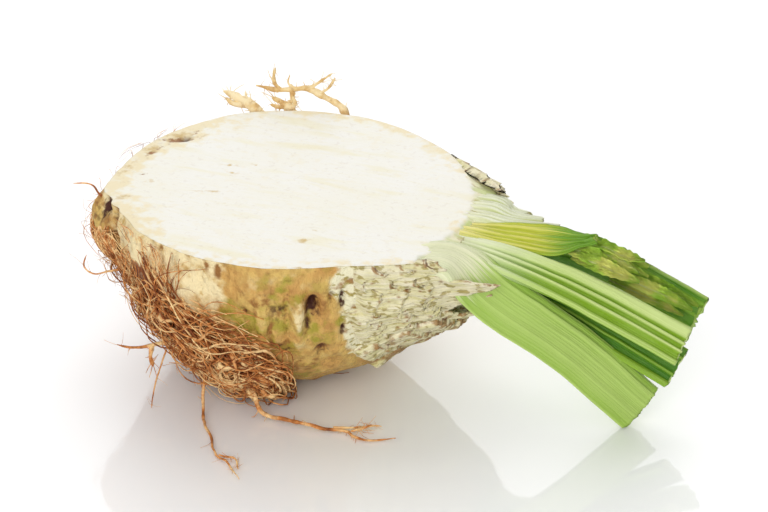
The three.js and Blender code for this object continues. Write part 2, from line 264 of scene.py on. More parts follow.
def fan(centre: int, ring: Array, outward: bool) -> Array:
    """Triangles from a centre point to a closed ring of indices.

    Args:
        centre: Index of the centre point.
        ring: Indices of the ring.
        outward: Whether the faces turn towards the ring's own side.

    Returns:
        Index rows of three.
    """
    after = np.roll(ring, -1)
    middle = np.full(len(ring), centre)
    order = (ring, after, middle) if outward else (after, ring, middle)
    return np.stack(order, axis=1)


def slab(outer: Array, inner: Array, values: dict[str, Array]) -> Shell:
    """Closed slab between an outer and an inner grid of points.

    Args:
        outer: Grid of points of the outer side, its faces turning outward as rows run down.
        inner: Grid of points of the inner side.
        values: Numbers on the outer grid, repeated on the inner one.

    Returns:
        The closed shell.
    """
    rows, columns = outer.shape[:2]
    under = rows * columns
    index = np.arange(under).reshape(rows, columns)
    edge = np.concatenate([index[:, 0], index[-1, 1:], index[-2::-1, -1], index[0, -2:0:-1]])
    after = np.roll(edge, -1)
    rim = np.stack([edge, edge + under, after + under, after], axis=1)
    faces = [grid_faces(rows, columns, False), grid_faces(rows, columns, False, under)[:, ::-1], rim]
    doubled = {key: np.concatenate([v.ravel(), v.ravel()]) for key, v in values.items()}
    points = np.concatenate([outer.reshape(-1, 3), inner.reshape(-1, 3)])
    return Shell(points, faces, doubled)


def show(name: str, mesh: Mesh, slot: Slot, *nodes: str) -> Object:
    """Puts a finished mesh into the scene as a piece of the root.

    Args:
        name: Piece name.
        mesh: Its mesh, in place.
        slot: Material slot of the piece; not used.
        nodes: CAD nodes it stands for.

    Returns:
        The object.
    """
    piece = bpy.data.objects.new(name, mesh)
    bpy.context.scene.collection.objects.link(piece)
    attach(piece, BODY)
    if nodes:
        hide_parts(*nodes)
    log.info("%s: %d triangles", name, sum(len(p.vertices) - 2 for p in mesh.polygons))
    return piece


def joined(name: str, meshes: list[Mesh]) -> Mesh:
    """One mesh from several that share a material.

    Args:
        name: Name of the new mesh.
        meshes: The meshes.

    Returns:
        The mesh.
    """
    whole = bmesh.new()
    for mesh in meshes:
        whole.from_mesh(mesh)
    made = bpy.data.meshes.new(name)
    whole.to_mesh(made)
    whole.free()
    for material in meshes[0].materials:
        made.materials.append(material)
    return made


# ---- shader building ----


class Wiring:
    """Short hand for building one node tree."""

    def __init__(self, tree: Tree) -> None:
        """Keeps the tree that nodes are added to."""
        self.tree = tree

    def add(self, kind: str, settings: dict | None = None, **inputs: object) -> Node:
        """Adds a node.

        Args:
            kind: Node type.
            settings: Node properties to set.
            inputs: Input sockets by name with _ for a space, each a constant or a socket.

        Returns:
            The node.
        """
        node = self.tree.nodes.new(kind)
        for key, value in (settings or {}).items():
            setattr(node, key, value)
        for key, value in inputs.items():
            self.feed(node.inputs[key.replace("_", " ")], value)
        return node

    def feed(self, socket: Socket, value: object) -> None:
        """Links a socket to an output, or sets its constant.

        Args:
            socket: The input.
            value: An output socket or a constant.
        """
        if isinstance(value, Socket):
            self.tree.links.new(value, socket)
        else:
            socket.default_value = value

    def place(self) -> Socket:
        """Object coordinates."""
        return self.add("ShaderNodeTexCoord").outputs["Object"]

    def value(self, name: str) -> Socket:
        """Number stored on the mesh."""
        return self.add("ShaderNodeAttribute", {"attribute_name": name}).outputs["Fac"]

    def math(self, kind: str, a: object, b: object = 0.0) -> Socket:
        """Result of a sum on one or two numbers.

        Args:
            kind: Name of the sum.
            a: First number.
            b: Second number.

        Returns:
            The result's socket.
        """
        node = self.add("ShaderNodeMath", {"operation": kind})
        self.feed(node.inputs[0], a)
        self.feed(node.inputs[1], b)
        return node.outputs[0]

    def times(self, a: object, b: object) -> Socket:
        """Product of two numbers."""
        return self.math("MULTIPLY", a, b)

    def plus(self, a: object, b: object) -> Socket:
        """Sum of two numbers."""
        return self.math("ADD", a, b)

    def sway(self, share: object, size: float) -> Socket:
        """Number from minus to plus half a size, as a share goes from 0 to 1."""
        return self.times(self.math("SUBTRACT", share, 0.5), size)

    def ranged(self, share: object, start: float, end: float) -> Socket:
        """Number from start to end, as a share goes from 0 to 1."""
        return self.add("ShaderNodeMapRange", Value=share, To_Min=start, To_Max=end).outputs["Result"]

    def stretched(self, given: Node) -> Socket:
        """Object coordinates times the Stretch input of a group.

        Args:
            given: The group's input node.

        Returns:
            The result's socket.
        """
        node = self.add("ShaderNodeVectorMath", {"operation": "MULTIPLY"})
        self.feed(node.inputs[0], self.place())
        self.feed(node.inputs[1], given.outputs["Stretch"])
        return node.outputs[0]

    def spread(self, value: object, low: object, high: object) -> Socket:
        """Smooth step of a number from 0 at low to 1 at high.

        Args:
            value: The number.
            low: Where it gives 0.
            high: Where it gives 1.

        Returns:
            The result's socket.
        """
        settings = {"interpolation_type": "SMOOTHSTEP"}
        node = self.add("ShaderNodeMapRange", settings, Value=value, From_Min=low, From_Max=high)
        return node.outputs["Result"]

    def blend(self, share: object, below: object, above: object) -> Socket:
        """Colour between two colours.

        Args:
            share: Share of the upper colour.
            below: Colour at 0.
            above: Colour at 1.

        Returns:
            The result's socket.
        """
        node = self.add("ShaderNodeMix", {"data_type": "RGBA"})
        for index, value in ((0, share), (6, below), (7, above)):
            self.feed(node.inputs[index], value)
        return node.outputs[2]

    def tint(self, share: object, most: float, below: object, above: object) -> Socket:
        """Colour between two colours, of which the upper one shows at most in part."""
        return self.blend(self.times(share, most), below, above)

    def ramp(self, share: object, stops: list[tuple[float, Colour]]) -> Socket:
        """Colour looked up along a row of stops.

        Args:
            share: Place along the row.
            stops: Places and their colours.

        Returns:
            The result's socket.
        """
        node = self.add("ShaderNodeValToRGB", Fac=share)
        while len(node.color_ramp.elements) < len(stops):
            node.color_ramp.elements.new(1.0)
        for element, (position, colour) in zip(node.color_ramp.elements, stops):
            element.position, element.color = position, colour
        return node.outputs["Color"]

    def group(self, tree: Tree, **inputs: object) -> Socket:
        """Adds a node group and gives its first output.

        Args:
            tree: The group.
            inputs: Its inputs by name, with _ for a space.

        Returns:
            The result's socket.
        """
        node = self.tree.nodes.new("ShaderNodeGroup")
        node.node_tree = tree
        for key, value in inputs.items():
            self.feed(node.inputs[key.replace("_", " ")], value)
        return node.outputs[0]

    def bump(self, height: object, distance: float, strength: float = 1.0) -> Socket:
        """Normal of a surface with a fine relief."""
        node = self.add("ShaderNodeBump", Height=height, Distance=distance, Strength=strength)
        return node.outputs["Normal"]


def new_group(name: str, sockets: dict[str, object]) -> tuple[Wiring, Node, Node]:
    """Starts a shader node group that puts out one value.

    Args:
        name: Name of the group.
        sockets: Its inputs with their starting values: a number, or three for a vector.

    Returns:
        The wiring, the group's input node and its output node.
    """
    tree = bpy.data.node_groups.new(name, "ShaderNodeTree")
    for key, value in sockets.items():
        kind = "NodeSocketVector" if isinstance(value, tuple) else "NodeSocketFloat"
        tree.interface.new_socket(key, in_out="INPUT", socket_type=kind).default_value = value
    tree.interface.new_socket("Value", in_out="OUTPUT", socket_type="NodeSocketFloat")
    wiring = Wiring(tree)
    return wiring, wiring.add("NodeGroupInput"), wiring.add("NodeGroupOutput")


def mottle_group() -> Tree:
    """Group of soft blotches in space, which a stretch turns into streaks.

    Returns:
        The group's tree.
    """
    sockets = {"Scale": 100.0, "Low": 0.4, "High": 0.6, "Stretch": (1.0, 1.0, 1.0)}
    w, given, out = new_group("mottle", sockets)
    place, scale = w.stretched(given), given.outputs["Scale"]
    noise = w.add("ShaderNodeTexNoise", Vector=place, Scale=scale, Detail=4.0)
    spread = w.spread(noise.outputs["Fac"], given.outputs["Low"], given.outputs["High"])
    w.feed(out.inputs["Value"], spread)
    return w.tree


def fibre_group() -> Tree:
    """Group of fine lines that run along a piece, from its own across and along values.

    Returns:
        The group's tree.
    """
    w, given, out = new_group("fibre lines", {"Lines": 30.0, "Length": 1.5, "Low": 0.35, "High": 0.65})
    across = w.times(w.value("across"), given.outputs["Lines"])
    along = w.times(w.value("along"), given.outputs["Length"])
    place = w.add("ShaderNodeCombineXYZ", X=across, Y=along)
    noise = w.add("ShaderNodeTexNoise", Vector=place.outputs[0], Scale=1.0, Detail=3.0)
    low, high = given.outputs["Low"], given.outputs["High"]
    spread = w.add("ShaderNodeMapRange", Value=noise.outputs["Fac"], From_Min=low, From_Max=high)
    w.feed(out.inputs["Value"], spread.outputs["Result"])
    return w.tree


def speck_group() -> Tree:
    """Group of scattered small specks.

    Returns:
        The group's tree.
    """
    w, given, out = new_group("specks", {"Scale": 300.0, "Size": 0.2, "Stretch": (1.0, 1.0, 1.0)})
    cells = w.add("ShaderNodeTexVoronoi", Vector=w.stretched(given), Scale=given.outputs["Scale"])
    w.feed(out.inputs["Value"], w.spread(cells.outputs["Distance"], given.outputs["Size"], 0.0))
    return w.tree


@dataclass(frozen=True)
class Effects:
    """Node groups that several finishes share."""

    mottle: Tree
    fibre: Tree
    specks: Tree


@dataclass(frozen=True)
class Finish:
    """Base of every finish: one material with a Principled shader."""

    effects: Effects

    def start(self, name: str, **constants: object) -> tuple[Material, Wiring, Node]:
        """Starts a material.

        Args:
            name: Name of the material.
            constants: Principled sockets to set, with _ for a space.

        Returns:
            The material, its wiring and its Principled shader.
        """
        material = bpy.data.materials.new(name)
        material.use_nodes = True
        material.node_tree.nodes.clear()
        w = Wiring(material.node_tree)
        shader = w.add("ShaderNodeBsdfPrincipled", **constants)
        w.add("ShaderNodeOutputMaterial", Surface=shader.outputs["BSDF"])
        return material, w, shader


@dataclass(frozen=True)
class RootFinish(Finish):
    """Creamy cut flesh and ochre, olive and brown rind, by the masks on the root's mesh."""

    flesh: Colour = tone(236, 234, 226)
    flesh_streak: Colour = tone(232, 225, 192)
    flesh_spot: Colour = tone(204, 176, 116)
    warm: Colour = tone(232, 218, 180)
    cream: Colour = tone(242, 224, 176)
    ochre: Colour = tone(208, 160, 88)
    gold: Colour = tone(218, 184, 104)
    olive: Colour = tone(164, 150, 52)
    brown: Colour = tone(150, 102, 48)
    dark: Colour = tone(70, 32, 16)
    earth: Colour = tone(132, 72, 34)
    crown: Colour = tone(234, 228, 194)
    crown_olive: Colour = tone(168, 152, 84)
    crown_green: Colour = tone(190, 202, 128)

    def masked(self, w: Wiring, name: str, scale: float, sway: float) -> Socket:
        """Mask from the mesh with its edge broken up by blotches.

        Args:
            w: Wiring of the material.
            name: Attribute that holds the mask.
            scale: Scale of the blotches.
            sway: How far they move the edge.

        Returns:
            The mask, from 0 to 1.
        """
        blotch = w.group(self.effects.mottle, Scale=scale, Low=0.3, High=0.7)
        return w.spread(w.plus(w.value(name), w.sway(blotch, sway)), 0.18, 0.82)

    def skin_colour(self, w: Wiring) -> Socket:
        """Colour of the rind.

        Args:
            w: Wiring of the material.

        Returns:
            The colour's socket.
        """
        mottle = self.effects.mottle
        broad = w.group(mottle, Scale=90.0, Low=0.38, High=0.62)
        fine = w.group(mottle, Scale=420.0, Low=0.35, High=0.65, Stretch=(1.0, 1.0, 0.45))
        colour = w.blend(broad, self.ochre, self.gold)
        colour = w.tint(fine, 0.32, colour, self.brown)
        colour = w.blend(self.masked(w, "green", 220.0, 0.7), colour, self.olive)
        cream = w.blend(w.group(mottle, Scale=260.0, Low=0.5, High=0.75), self.cream, self.gold)
        colour = w.blend(self.masked(w, "cream", 180.0, 0.6), colour, cream)
        colour = w.blend(self.masked(w, "brown", 300.0, 0.8), colour, self.brown)
        colour = w.blend(self.masked(w, "earth", 260.0, 0.8), colour, self.earth)
        fleck = w.group(mottle, Scale=620.0, Low=0.5, High=0.64, Stretch=(0.45, 1.0, 1.0))
        crown = w.blend(fleck, self.crown, self.crown_olive)
        bruise = w.group(mottle, Scale=260.0, Low=0.56, High=0.7, Stretch=(0.6, 1.0, 1.0))
        crown = w.tint(bruise, 0.8, crown, self.brown)
        colour = w.blend(self.masked(w, "crown", 240.0, 0.36), colour, crown)
        pore = w.group(self.effects.specks, Scale=260.0, Size=0.16)
        colour = w.tint(pore, 0.7, colour, self.brown)
        return w.blend(self.masked(w, "dark", 420.0, 0.7), colour, self.dark)

    def flesh_colour(self, w: Wiring) -> Socket:
        """Colour of the cut face.

        Args:
            w: Wiring of the material.

        Returns:
            The colour's socket.
        """
        mottle = self.effects.mottle
        streak = w.group(mottle, Scale=75.0, Low=0.52, High=0.74, Stretch=(0.5, 1.9, 1.0))
        cloud = w.group(mottle, Scale=40.0, Low=0.35, High=0.7)
        fine = w.group(mottle, Scale=520.0, Low=0.45, High=0.75, Stretch=(0.35, 1.6, 1.0))
        colour = w.tint(streak, 0.75, self.flesh, self.flesh_streak)
        colour = w.tint(cloud, 0.22, colour, self.flesh_streak)
        colour = w.tint(fine, 0.2, colour, self.flesh_streak)
        colour = w.blend(self.masked(w, "edge", 240.0, 0.7), colour, self.warm)
        colour = w.blend(self.masked(w, "spot", 500.0, 0.5), colour, self.flesh_spot)
        colour = w.blend(self.masked(w, "stain", 600.0, 0.6), colour, self.brown)
        rib = w.group(mottle, Scale=300.0, Low=0.35, High=0.65, Stretch=(0.16, 1.0, 1.0))
        sheath = w.blend(rib, self.crown, self.crown_green)
        patch = w.group(mottle, Scale=170.0, Low=0.52, High=0.62, Stretch=(0.5, 1.0, 1.0))
        sheath = w.tint(patch, 0.7, sheath, self.crown_olive)
        colour = w.blend(w.value("sheath"), colour, sheath)
        return w.blend(w.value("pit"), colour, self.dark)

    def material(self) -> Material:
        """The finished material.

        Returns:
            The material.
        """
        made, w, shader = self.start("root flesh and rind", Specular_IOR_Level=0.35)
        cut = w.spread(w.value("cut"), 0.35, 0.65)
        w.feed(shader.inputs["Base Color"], w.blend(cut, self.skin_colour(w), self.flesh_colour(w)))
        w.feed(shader.inputs["Roughness"], w.ranged(cut, 0.62, 0.42))
        wrinkle = w.group(self.effects.mottle, Scale=520.0, Low=0.2, High=0.8, Stretch=(1.0, 1.0, 0.5))
        grain = w.group(self.effects.mottle, Scale=1500.0, Low=0.2, High=0.8)
        height = w.times(w.plus(wrinkle, w.times(grain, 0.35)), w.ranged(cut, 1.0, 0.16))
        w.feed(shader.inputs["Normal"], w.bump(height, 0.5 * MM))
        return made


@dataclass(frozen=True)
class BaseFinish(Finish):
    """Whitish green trimmed stalk bases: fibres, olive flecks, browned torn edges and painted shade at the
    foot of each scar step.
    """

    pale: Colour = tone(240, 232, 202)
    green: Colour = tone(220, 212, 152)
    olive: Colour = tone(162, 144, 72)
    brown: Colour = tone(160, 116, 62)
    # colour of the painted shade at the foot of each scar step
    dark: Colour = tone(110, 72, 38)

    def material(self) -> Material:
        """The finished material.

        Returns:
            The material.
        """
        made, w, shader = self.start("trimmed stalk base", Specular_IOR_Level=0.35, Roughness=0.5)
        mottle, fibre = self.effects.mottle, self.effects.fibre
        colour = w.blend(w.group(fibre, Lines=26.0, Length=2.5), self.pale, self.green)
        patch = w.group(mottle, Scale=150.0, Low=0.5, High=0.62)
        colour = w.tint(patch, 0.6, colour, self.pale)
        fleck = w.group(mottle, Scale=620.0, Low=0.53, High=0.64, Stretch=(0.45, 1.0, 1.0))
        colour = w.tint(fleck, 0.8, colour, self.olive)
        sway = w.math("SUBTRACT", w.group(mottle, Scale=300.0, Low=0.3, High=0.7), 0.5)
        aged = w.spread(w.plus(w.value("aged"), w.times(sway, 0.9)), 0.35, 0.85)
        colour = w.tint(aged, 0.85, colour, self.brown)
        speck = w.group(self.effects.specks, Scale=420.0, Size=0.3, Stretch=(0.6, 1.0, 1.0))
        colour = w.tint(speck, 0.8, colour, self.brown)
        # painted shade: a dark line in the crease at the foot of each scar step
        deep = w.spread(w.plus(w.value("deep"), w.times(sway, 0.6)), 0.4, 0.9)
        w.feed(shader.inputs["Base Color"], w.blend(deep, colour, self.dark))
        line = w.group(fibre, Lines=60.0, Length=3.0, Low=0.2, High=0.8)
        grain = w.group(mottle, Scale=900.0, Low=0.2, High=0.8)
        height = w.plus(line, w.times(grain, 0.5))
        w.feed(shader.inputs["Normal"], w.bump(height, 0.45 * MM))
        return made


@dataclass(frozen=True)
class StalkFinish(Finish):
    """Green leaf stalk: pale ridges, deeper grooves, whitish foot and a wet pale cut end."""

    name: str = "front stalk"
    ridge: Colour = tone(180, 206, 108)
    groove: Colour = tone(146, 182, 62)
    foot: Colour = tone(234, 234, 196)
    back: Colour = tone(138, 172, 52)
    lip: Colour = tone(188, 212, 116)
    cut: Colour = tone(212, 222, 162)
    tip: Colour = tone(110, 158, 28)
    tip_start: float = 2.0
    foot_end: float = 0.3
    foot_start: float = 0.2
    lines: float = 18.0
    line_depth: float = 0.4

    def material(self) -> Material:
        """The finished material.

        Returns:
            The material.
        """
        made, w, shader = self.start(self.name, Roughness=0.36, Specular_IOR_Level=0.45)
        mottle, fibre = self.effects.mottle, self.effects.fibre
        line = w.group(fibre, Lines=self.lines, Length=1.2, Low=0.3, High=0.7)
        thread = w.group(fibre, Lines=self.lines * 3, Length=2.0, Low=0.3, High=0.7)
        ridge = w.plus(w.value("ridge"), w.sway(line, 0.45))
        colour = w.blend(w.spread(ridge, 0.1, 0.9), self.groove, self.ridge)
        colour = w.tint(thread, 0.22, colour, self.groove)
        tint = w.group(mottle, Scale=60.0, Low=0.35, High=0.65)
        colour = w.tint(tint, 0.16, colour, self.lip)
        colour = w.blend(w.value("lip"), colour, self.lip)
        colour = w.blend(w.value("back"), colour, self.back)
        sway = w.sway(line, 0.12)
        foot = w.spread(w.plus(w.value("along"), sway), self.foot_end, self.foot_start)
        foot = w.times(foot, w.ranged(ridge, 0.72, 1.0))
        colour = w.blend(foot, colour, self.foot)
        torn = w.plus(w.value("along"), w.sway(thread, 0.3))
        colour = w.blend(w.spread(torn, self.tip_start, self.tip_start + 0.25), colour, self.tip)
        pith = w.group(mottle, Scale=700.0, Low=0.35, High=0.65)
        end = w.tint(pith, 0.5, self.cut, self.ridge)
        end = w.blend(w.value("pore"), end, self.groove)
        w.feed(shader.inputs["Base Color"], w.blend(w.value("end"), colour, end))
        grain = w.group(mottle, Scale=1300.0, Low=0.2, High=0.8)
        height = w.plus(w.times(line, 0.8), w.times(thread, self.line_depth))
        height = w.plus(height, w.times(grain, 0.12))
        w.feed(shader.inputs["Normal"], w.bump(height, 0.22 * MM))
        return made


@dataclass(frozen=True)
class LeafFinish(Finish):
    """Crumpled young leaf: yellow to deep green between pale veins."""

    name: str = "young leaf"
    young: Colour = tone(240, 242, 120)
    green: Colour = tone(196, 232, 80)
    deep: Colour = tone(138, 192, 38)
    vein: Colour = tone(236, 244, 172)

    def material(self) -> Material:
        """The finished material.

        Returns:
            The material.
        """
        made, w, shader = self.start(self.name, Roughness=0.4, Specular_IOR_Level=0.4)
        mottle = self.effects.mottle
        patch = w.group(mottle, Scale=130.0, Low=0.38, High=0.62)
        age = w.plus(w.value("age"), w.sway(patch, 0.7))
        colour = w.ramp(w.spread(age, -0.1, 1.1), [(0.0, self.young), (0.5, self.green), (1.0, self.deep)])
        fine = w.group(self.effects.fibre, Lines=34.0, Length=5.0, Low=0.45, High=0.65)
        colour = w.tint(fine, 0.3, colour, self.young)
        colour = w.blend(w.value("vein"), colour, self.vein)
        w.feed(shader.inputs["Base Color"], colour)
        height = w.plus(fine, w.group(mottle, Scale=900.0, Low=0.2, High=0.8))
        w.feed(shader.inputs["Normal"], w.bump(height, 0.25 * MM))
        return made


@dataclass(frozen=True)
class StrandFinish(Finish):
    """Dry rootlet skin, from dark in the shade of each strand's own tone to light."""

    name: str = "rootlet"
    dark: Colour = tone(130, 66, 26)
    middle: Colour = tone(212, 138, 72)
    light: Colour = tone(246, 210, 150)
    lines: float = 700.0

    def material(self) -> Material:
        """The finished material.

        Returns:
            The material.
        """
        made, w, shader = self.start(self.name, Roughness=0.62, Specular_IOR_Level=0.3)
        mottle = self.effects.mottle
        patch = w.group(mottle, Scale=240.0, Low=0.35, High=0.65)
        shade = w.plus(w.value("shade"), w.sway(patch, 0.5))
        stops = [(0.0, self.dark), (0.5, self.middle), (1.0, self.light)]
        colour = w.ramp(w.spread(shade, -0.05, 1.05), stops)
        ring = w.group(mottle, Scale=self.lines, Low=0.5, High=0.7)
        colour = w.tint(ring, 0.4, colour, self.dark)
        w.feed(shader.inputs["Base Color"], colour)
        w.feed(shader.inputs["Normal"], w.bump(ring, 0.2 * MM, 0.8))
        return made


@dataclass(frozen=True)
class TableFinish(Finish):
    """Glossy white table top with a barely uneven polish."""

    white: Colour = (0.98, 0.98, 0.98, 1.0)
    off_white: Colour = (0.97, 0.97, 0.97, 1.0)

    def material(self) -> Material:
        """The finished material.

        Returns:
            The material.
        """
        made, w, shader = self.start("white table", Roughness=0.5, Coat_Weight=1.0, Coat_Roughness=0.04)
        shader.inputs["Coat IOR"].default_value = 1.55
        haze = w.group(self.effects.mottle, Scale=6.0, Low=0.3, High=0.7)
        w.feed(shader.inputs["Base Color"], w.blend(haze, self.white, self.off_white))
        return made


# ---- the root ----


@dataclass(frozen=True)
class Blemish:
    """Soft feature of the rind: place and half widths in degrees, rise in mm, share of each colour."""

    turn: float
    dip: float
    wide: float
    tall: float
    rise: float = 0.0
    green: float = 0.0
    brown: float = 0.0
    dark: float = 0.0
    pale: float = 0.0

    def on(self, turn: Array, dip: Array) -> Array:
        """Share of the feature at angles on the rind.

        Args:
            turn, dip: Angles round +Z and below the cut face, in degrees.

        Returns:
            From 0 far off to 1 in its middle.
        """
        away = (turn - self.turn + 180) % 360 - 180
        return np.exp(-((away / self.wide) ** 2) - ((dip - self.dip) / self.tall) ** 2)


@dataclass
class Rind:
    """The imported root's own outside, measured from the middle of its cut face."""

    node: str = "root_half"
    turns: int = 240
    dips: int = 72
    start_below: float = 0.3 * MM
    shallowest: float = 0.2
    steepest: float = 89.9
    smoothings: int = 2
    centre: Array = field(init=False)
    reach: Array = field(init=False)

    def __post_init__(self) -> None:
        """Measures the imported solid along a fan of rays."""
        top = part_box(self.node)[1].z
        self.centre = np.array([0.0, 0.0, top])
        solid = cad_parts[self.node].data
        corners = [v.co.copy() for v in solid.vertices]
        tree = BVHTree.FromPolygons(corners, [tuple(p.vertices) for p in solid.polygons])
        origin = Vector((0, 0, top - self.start_below))
        turn, dip = np.meshgrid(
            np.arange(self.turns) * 360 / self.turns,
            np.linspace(self.shallowest, self.steepest, self.dips + 1),
            indexing="ij",
        )
        rays = self.direction(turn, dip)
        far = np.zeros(turn.shape)
        for index in np.ndindex(*turn.shape):
            far[index] = tree.ray_cast(origin, Vector(rays[index]))[3] or 0.0
        for _ in range(self.smoothings):
            far = (np.roll(far, 1, 0) + 2 * far + np.roll(far, -1, 0)) / 4
            inner = (far[:, :-2] + 2 * far[:, 1:-1] + far[:, 2:]) / 4
            far[:, 1:-1] = inner
        self.reach = far

    @staticmethod
    def direction(turn: Array, dip: Array) -> Array:
        """Unit directions from the middle of the cut face."""
        t, d = np.radians(turn), np.radians(dip)
        return np.stack([np.cos(t) * np.cos(d), np.sin(t) * np.cos(d), -np.sin(d)], axis=-1)

    def distance(self, turn: Array, dip: Array) -> Array:
        """Distance to the rind along angles.

        Args:
            turn, dip: Angles round +Z and below the cut face, in degrees.

        Returns:
            Distances in metres.
        """
        t = (turn % 360) / 360 * self.turns
        d = np.clip(dip / 90 * self.dips, 0, self.dips - 1e-6)
        i, j = t.astype(int), d.astype(int)
        a, b = t - i, d - j
        after = (i + 1) % self.turns
        i = i % self.turns
        near = self.reach[i, j] * (1 - b) + self.reach[i, j + 1] * b
        far = self.reach[after, j] * (1 - b) + self.reach[after, j + 1] * b
        return near * (1 - a) + far * a

    def point(self, turn: Array, dip: Array, lift: Array | float = 0.0) -> Array:
        """Points on the rind, raised by a lift in metres."""
        turn, dip = np.broadcast_arrays(np.asarray(turn, float), np.asarray(dip, float))
        return self.centre + self.direction(turn, dip) * (self.distance(turn, dip) + lift)[..., None]

    def crown_angles(self, from_x: Array, round_x: Array) -> tuple[Array, Array]:
        """Turn and dip of crown angles.

        Args:
            from_x: Angles from the +X axis, in degrees.
            round_x: Angles round it, from the front rim (0) under to the back rim (180).

        Returns:
            Turns and dips in degrees.
        """
        a, r = np.radians(from_x), np.radians(round_x)
        y, z = -np.sin(a) * np.cos(r), -np.sin(a) * np.sin(r)
        return np.degrees(np.arctan2(y, np.cos(a))), np.degrees(np.arcsin(np.clip(-z, -1, 1)))


class Matted:
    """Where rootlets cover the rind: the dip of the mat's upper edge at each turn."""

    TURNS = (90, 100, 150, 195, 205, 230, 240, 250, 260, 270, 280, 290, 296)
    DIPS = (60, 20, 14, 16, 24, 14, 10, 15, 23, 30, 36, 40, 62)
    BARE_DIP = 200
    RIGHT_TURN = 287
    SLANT_DIP = 31
    SLANT = 0.25

    @classmethod
    def upper(cls, turn: Array) -> Array:
        """Dip of the upper edge at turns."""
        return np.interp(turn % 360, cls.TURNS, cls.DIPS, left=cls.BARE_DIP, right=cls.BARE_DIP)

    @classmethod
    def right(cls, dip: Array) -> Array:
        """Turn at which the front mat ends at dips."""
        return cls.RIGHT_TURN - cls.SLANT * np.clip(dip - cls.SLANT_DIP, 0, 60)


@dataclass(frozen=True)
class FaceMark:
    """Long soft spot on the cut face, in millimetres and degrees, with its kind of stain."""

    kind: str
    x: float
    y: float
    length: float
    width: float
    angle: float
    strength: float

    def on(self, points: Array) -> Array:
        """The spot's value at points in millimetres.

        Args:
            points: Places in millimetres.

        Returns:
            The value at each place.
        """
        a = math.radians(self.angle)
        away = points[..., :2] - np.array([self.x, self.y])
        along = away[..., 0] * math.cos(a) + away[..., 1] * math.sin(a)
        across = away[..., 1] * math.cos(a) - away[..., 0] * math.sin(a)
        return self.strength * np.exp(-((along / self.length) ** 2) - (across / self.width) ** 2)


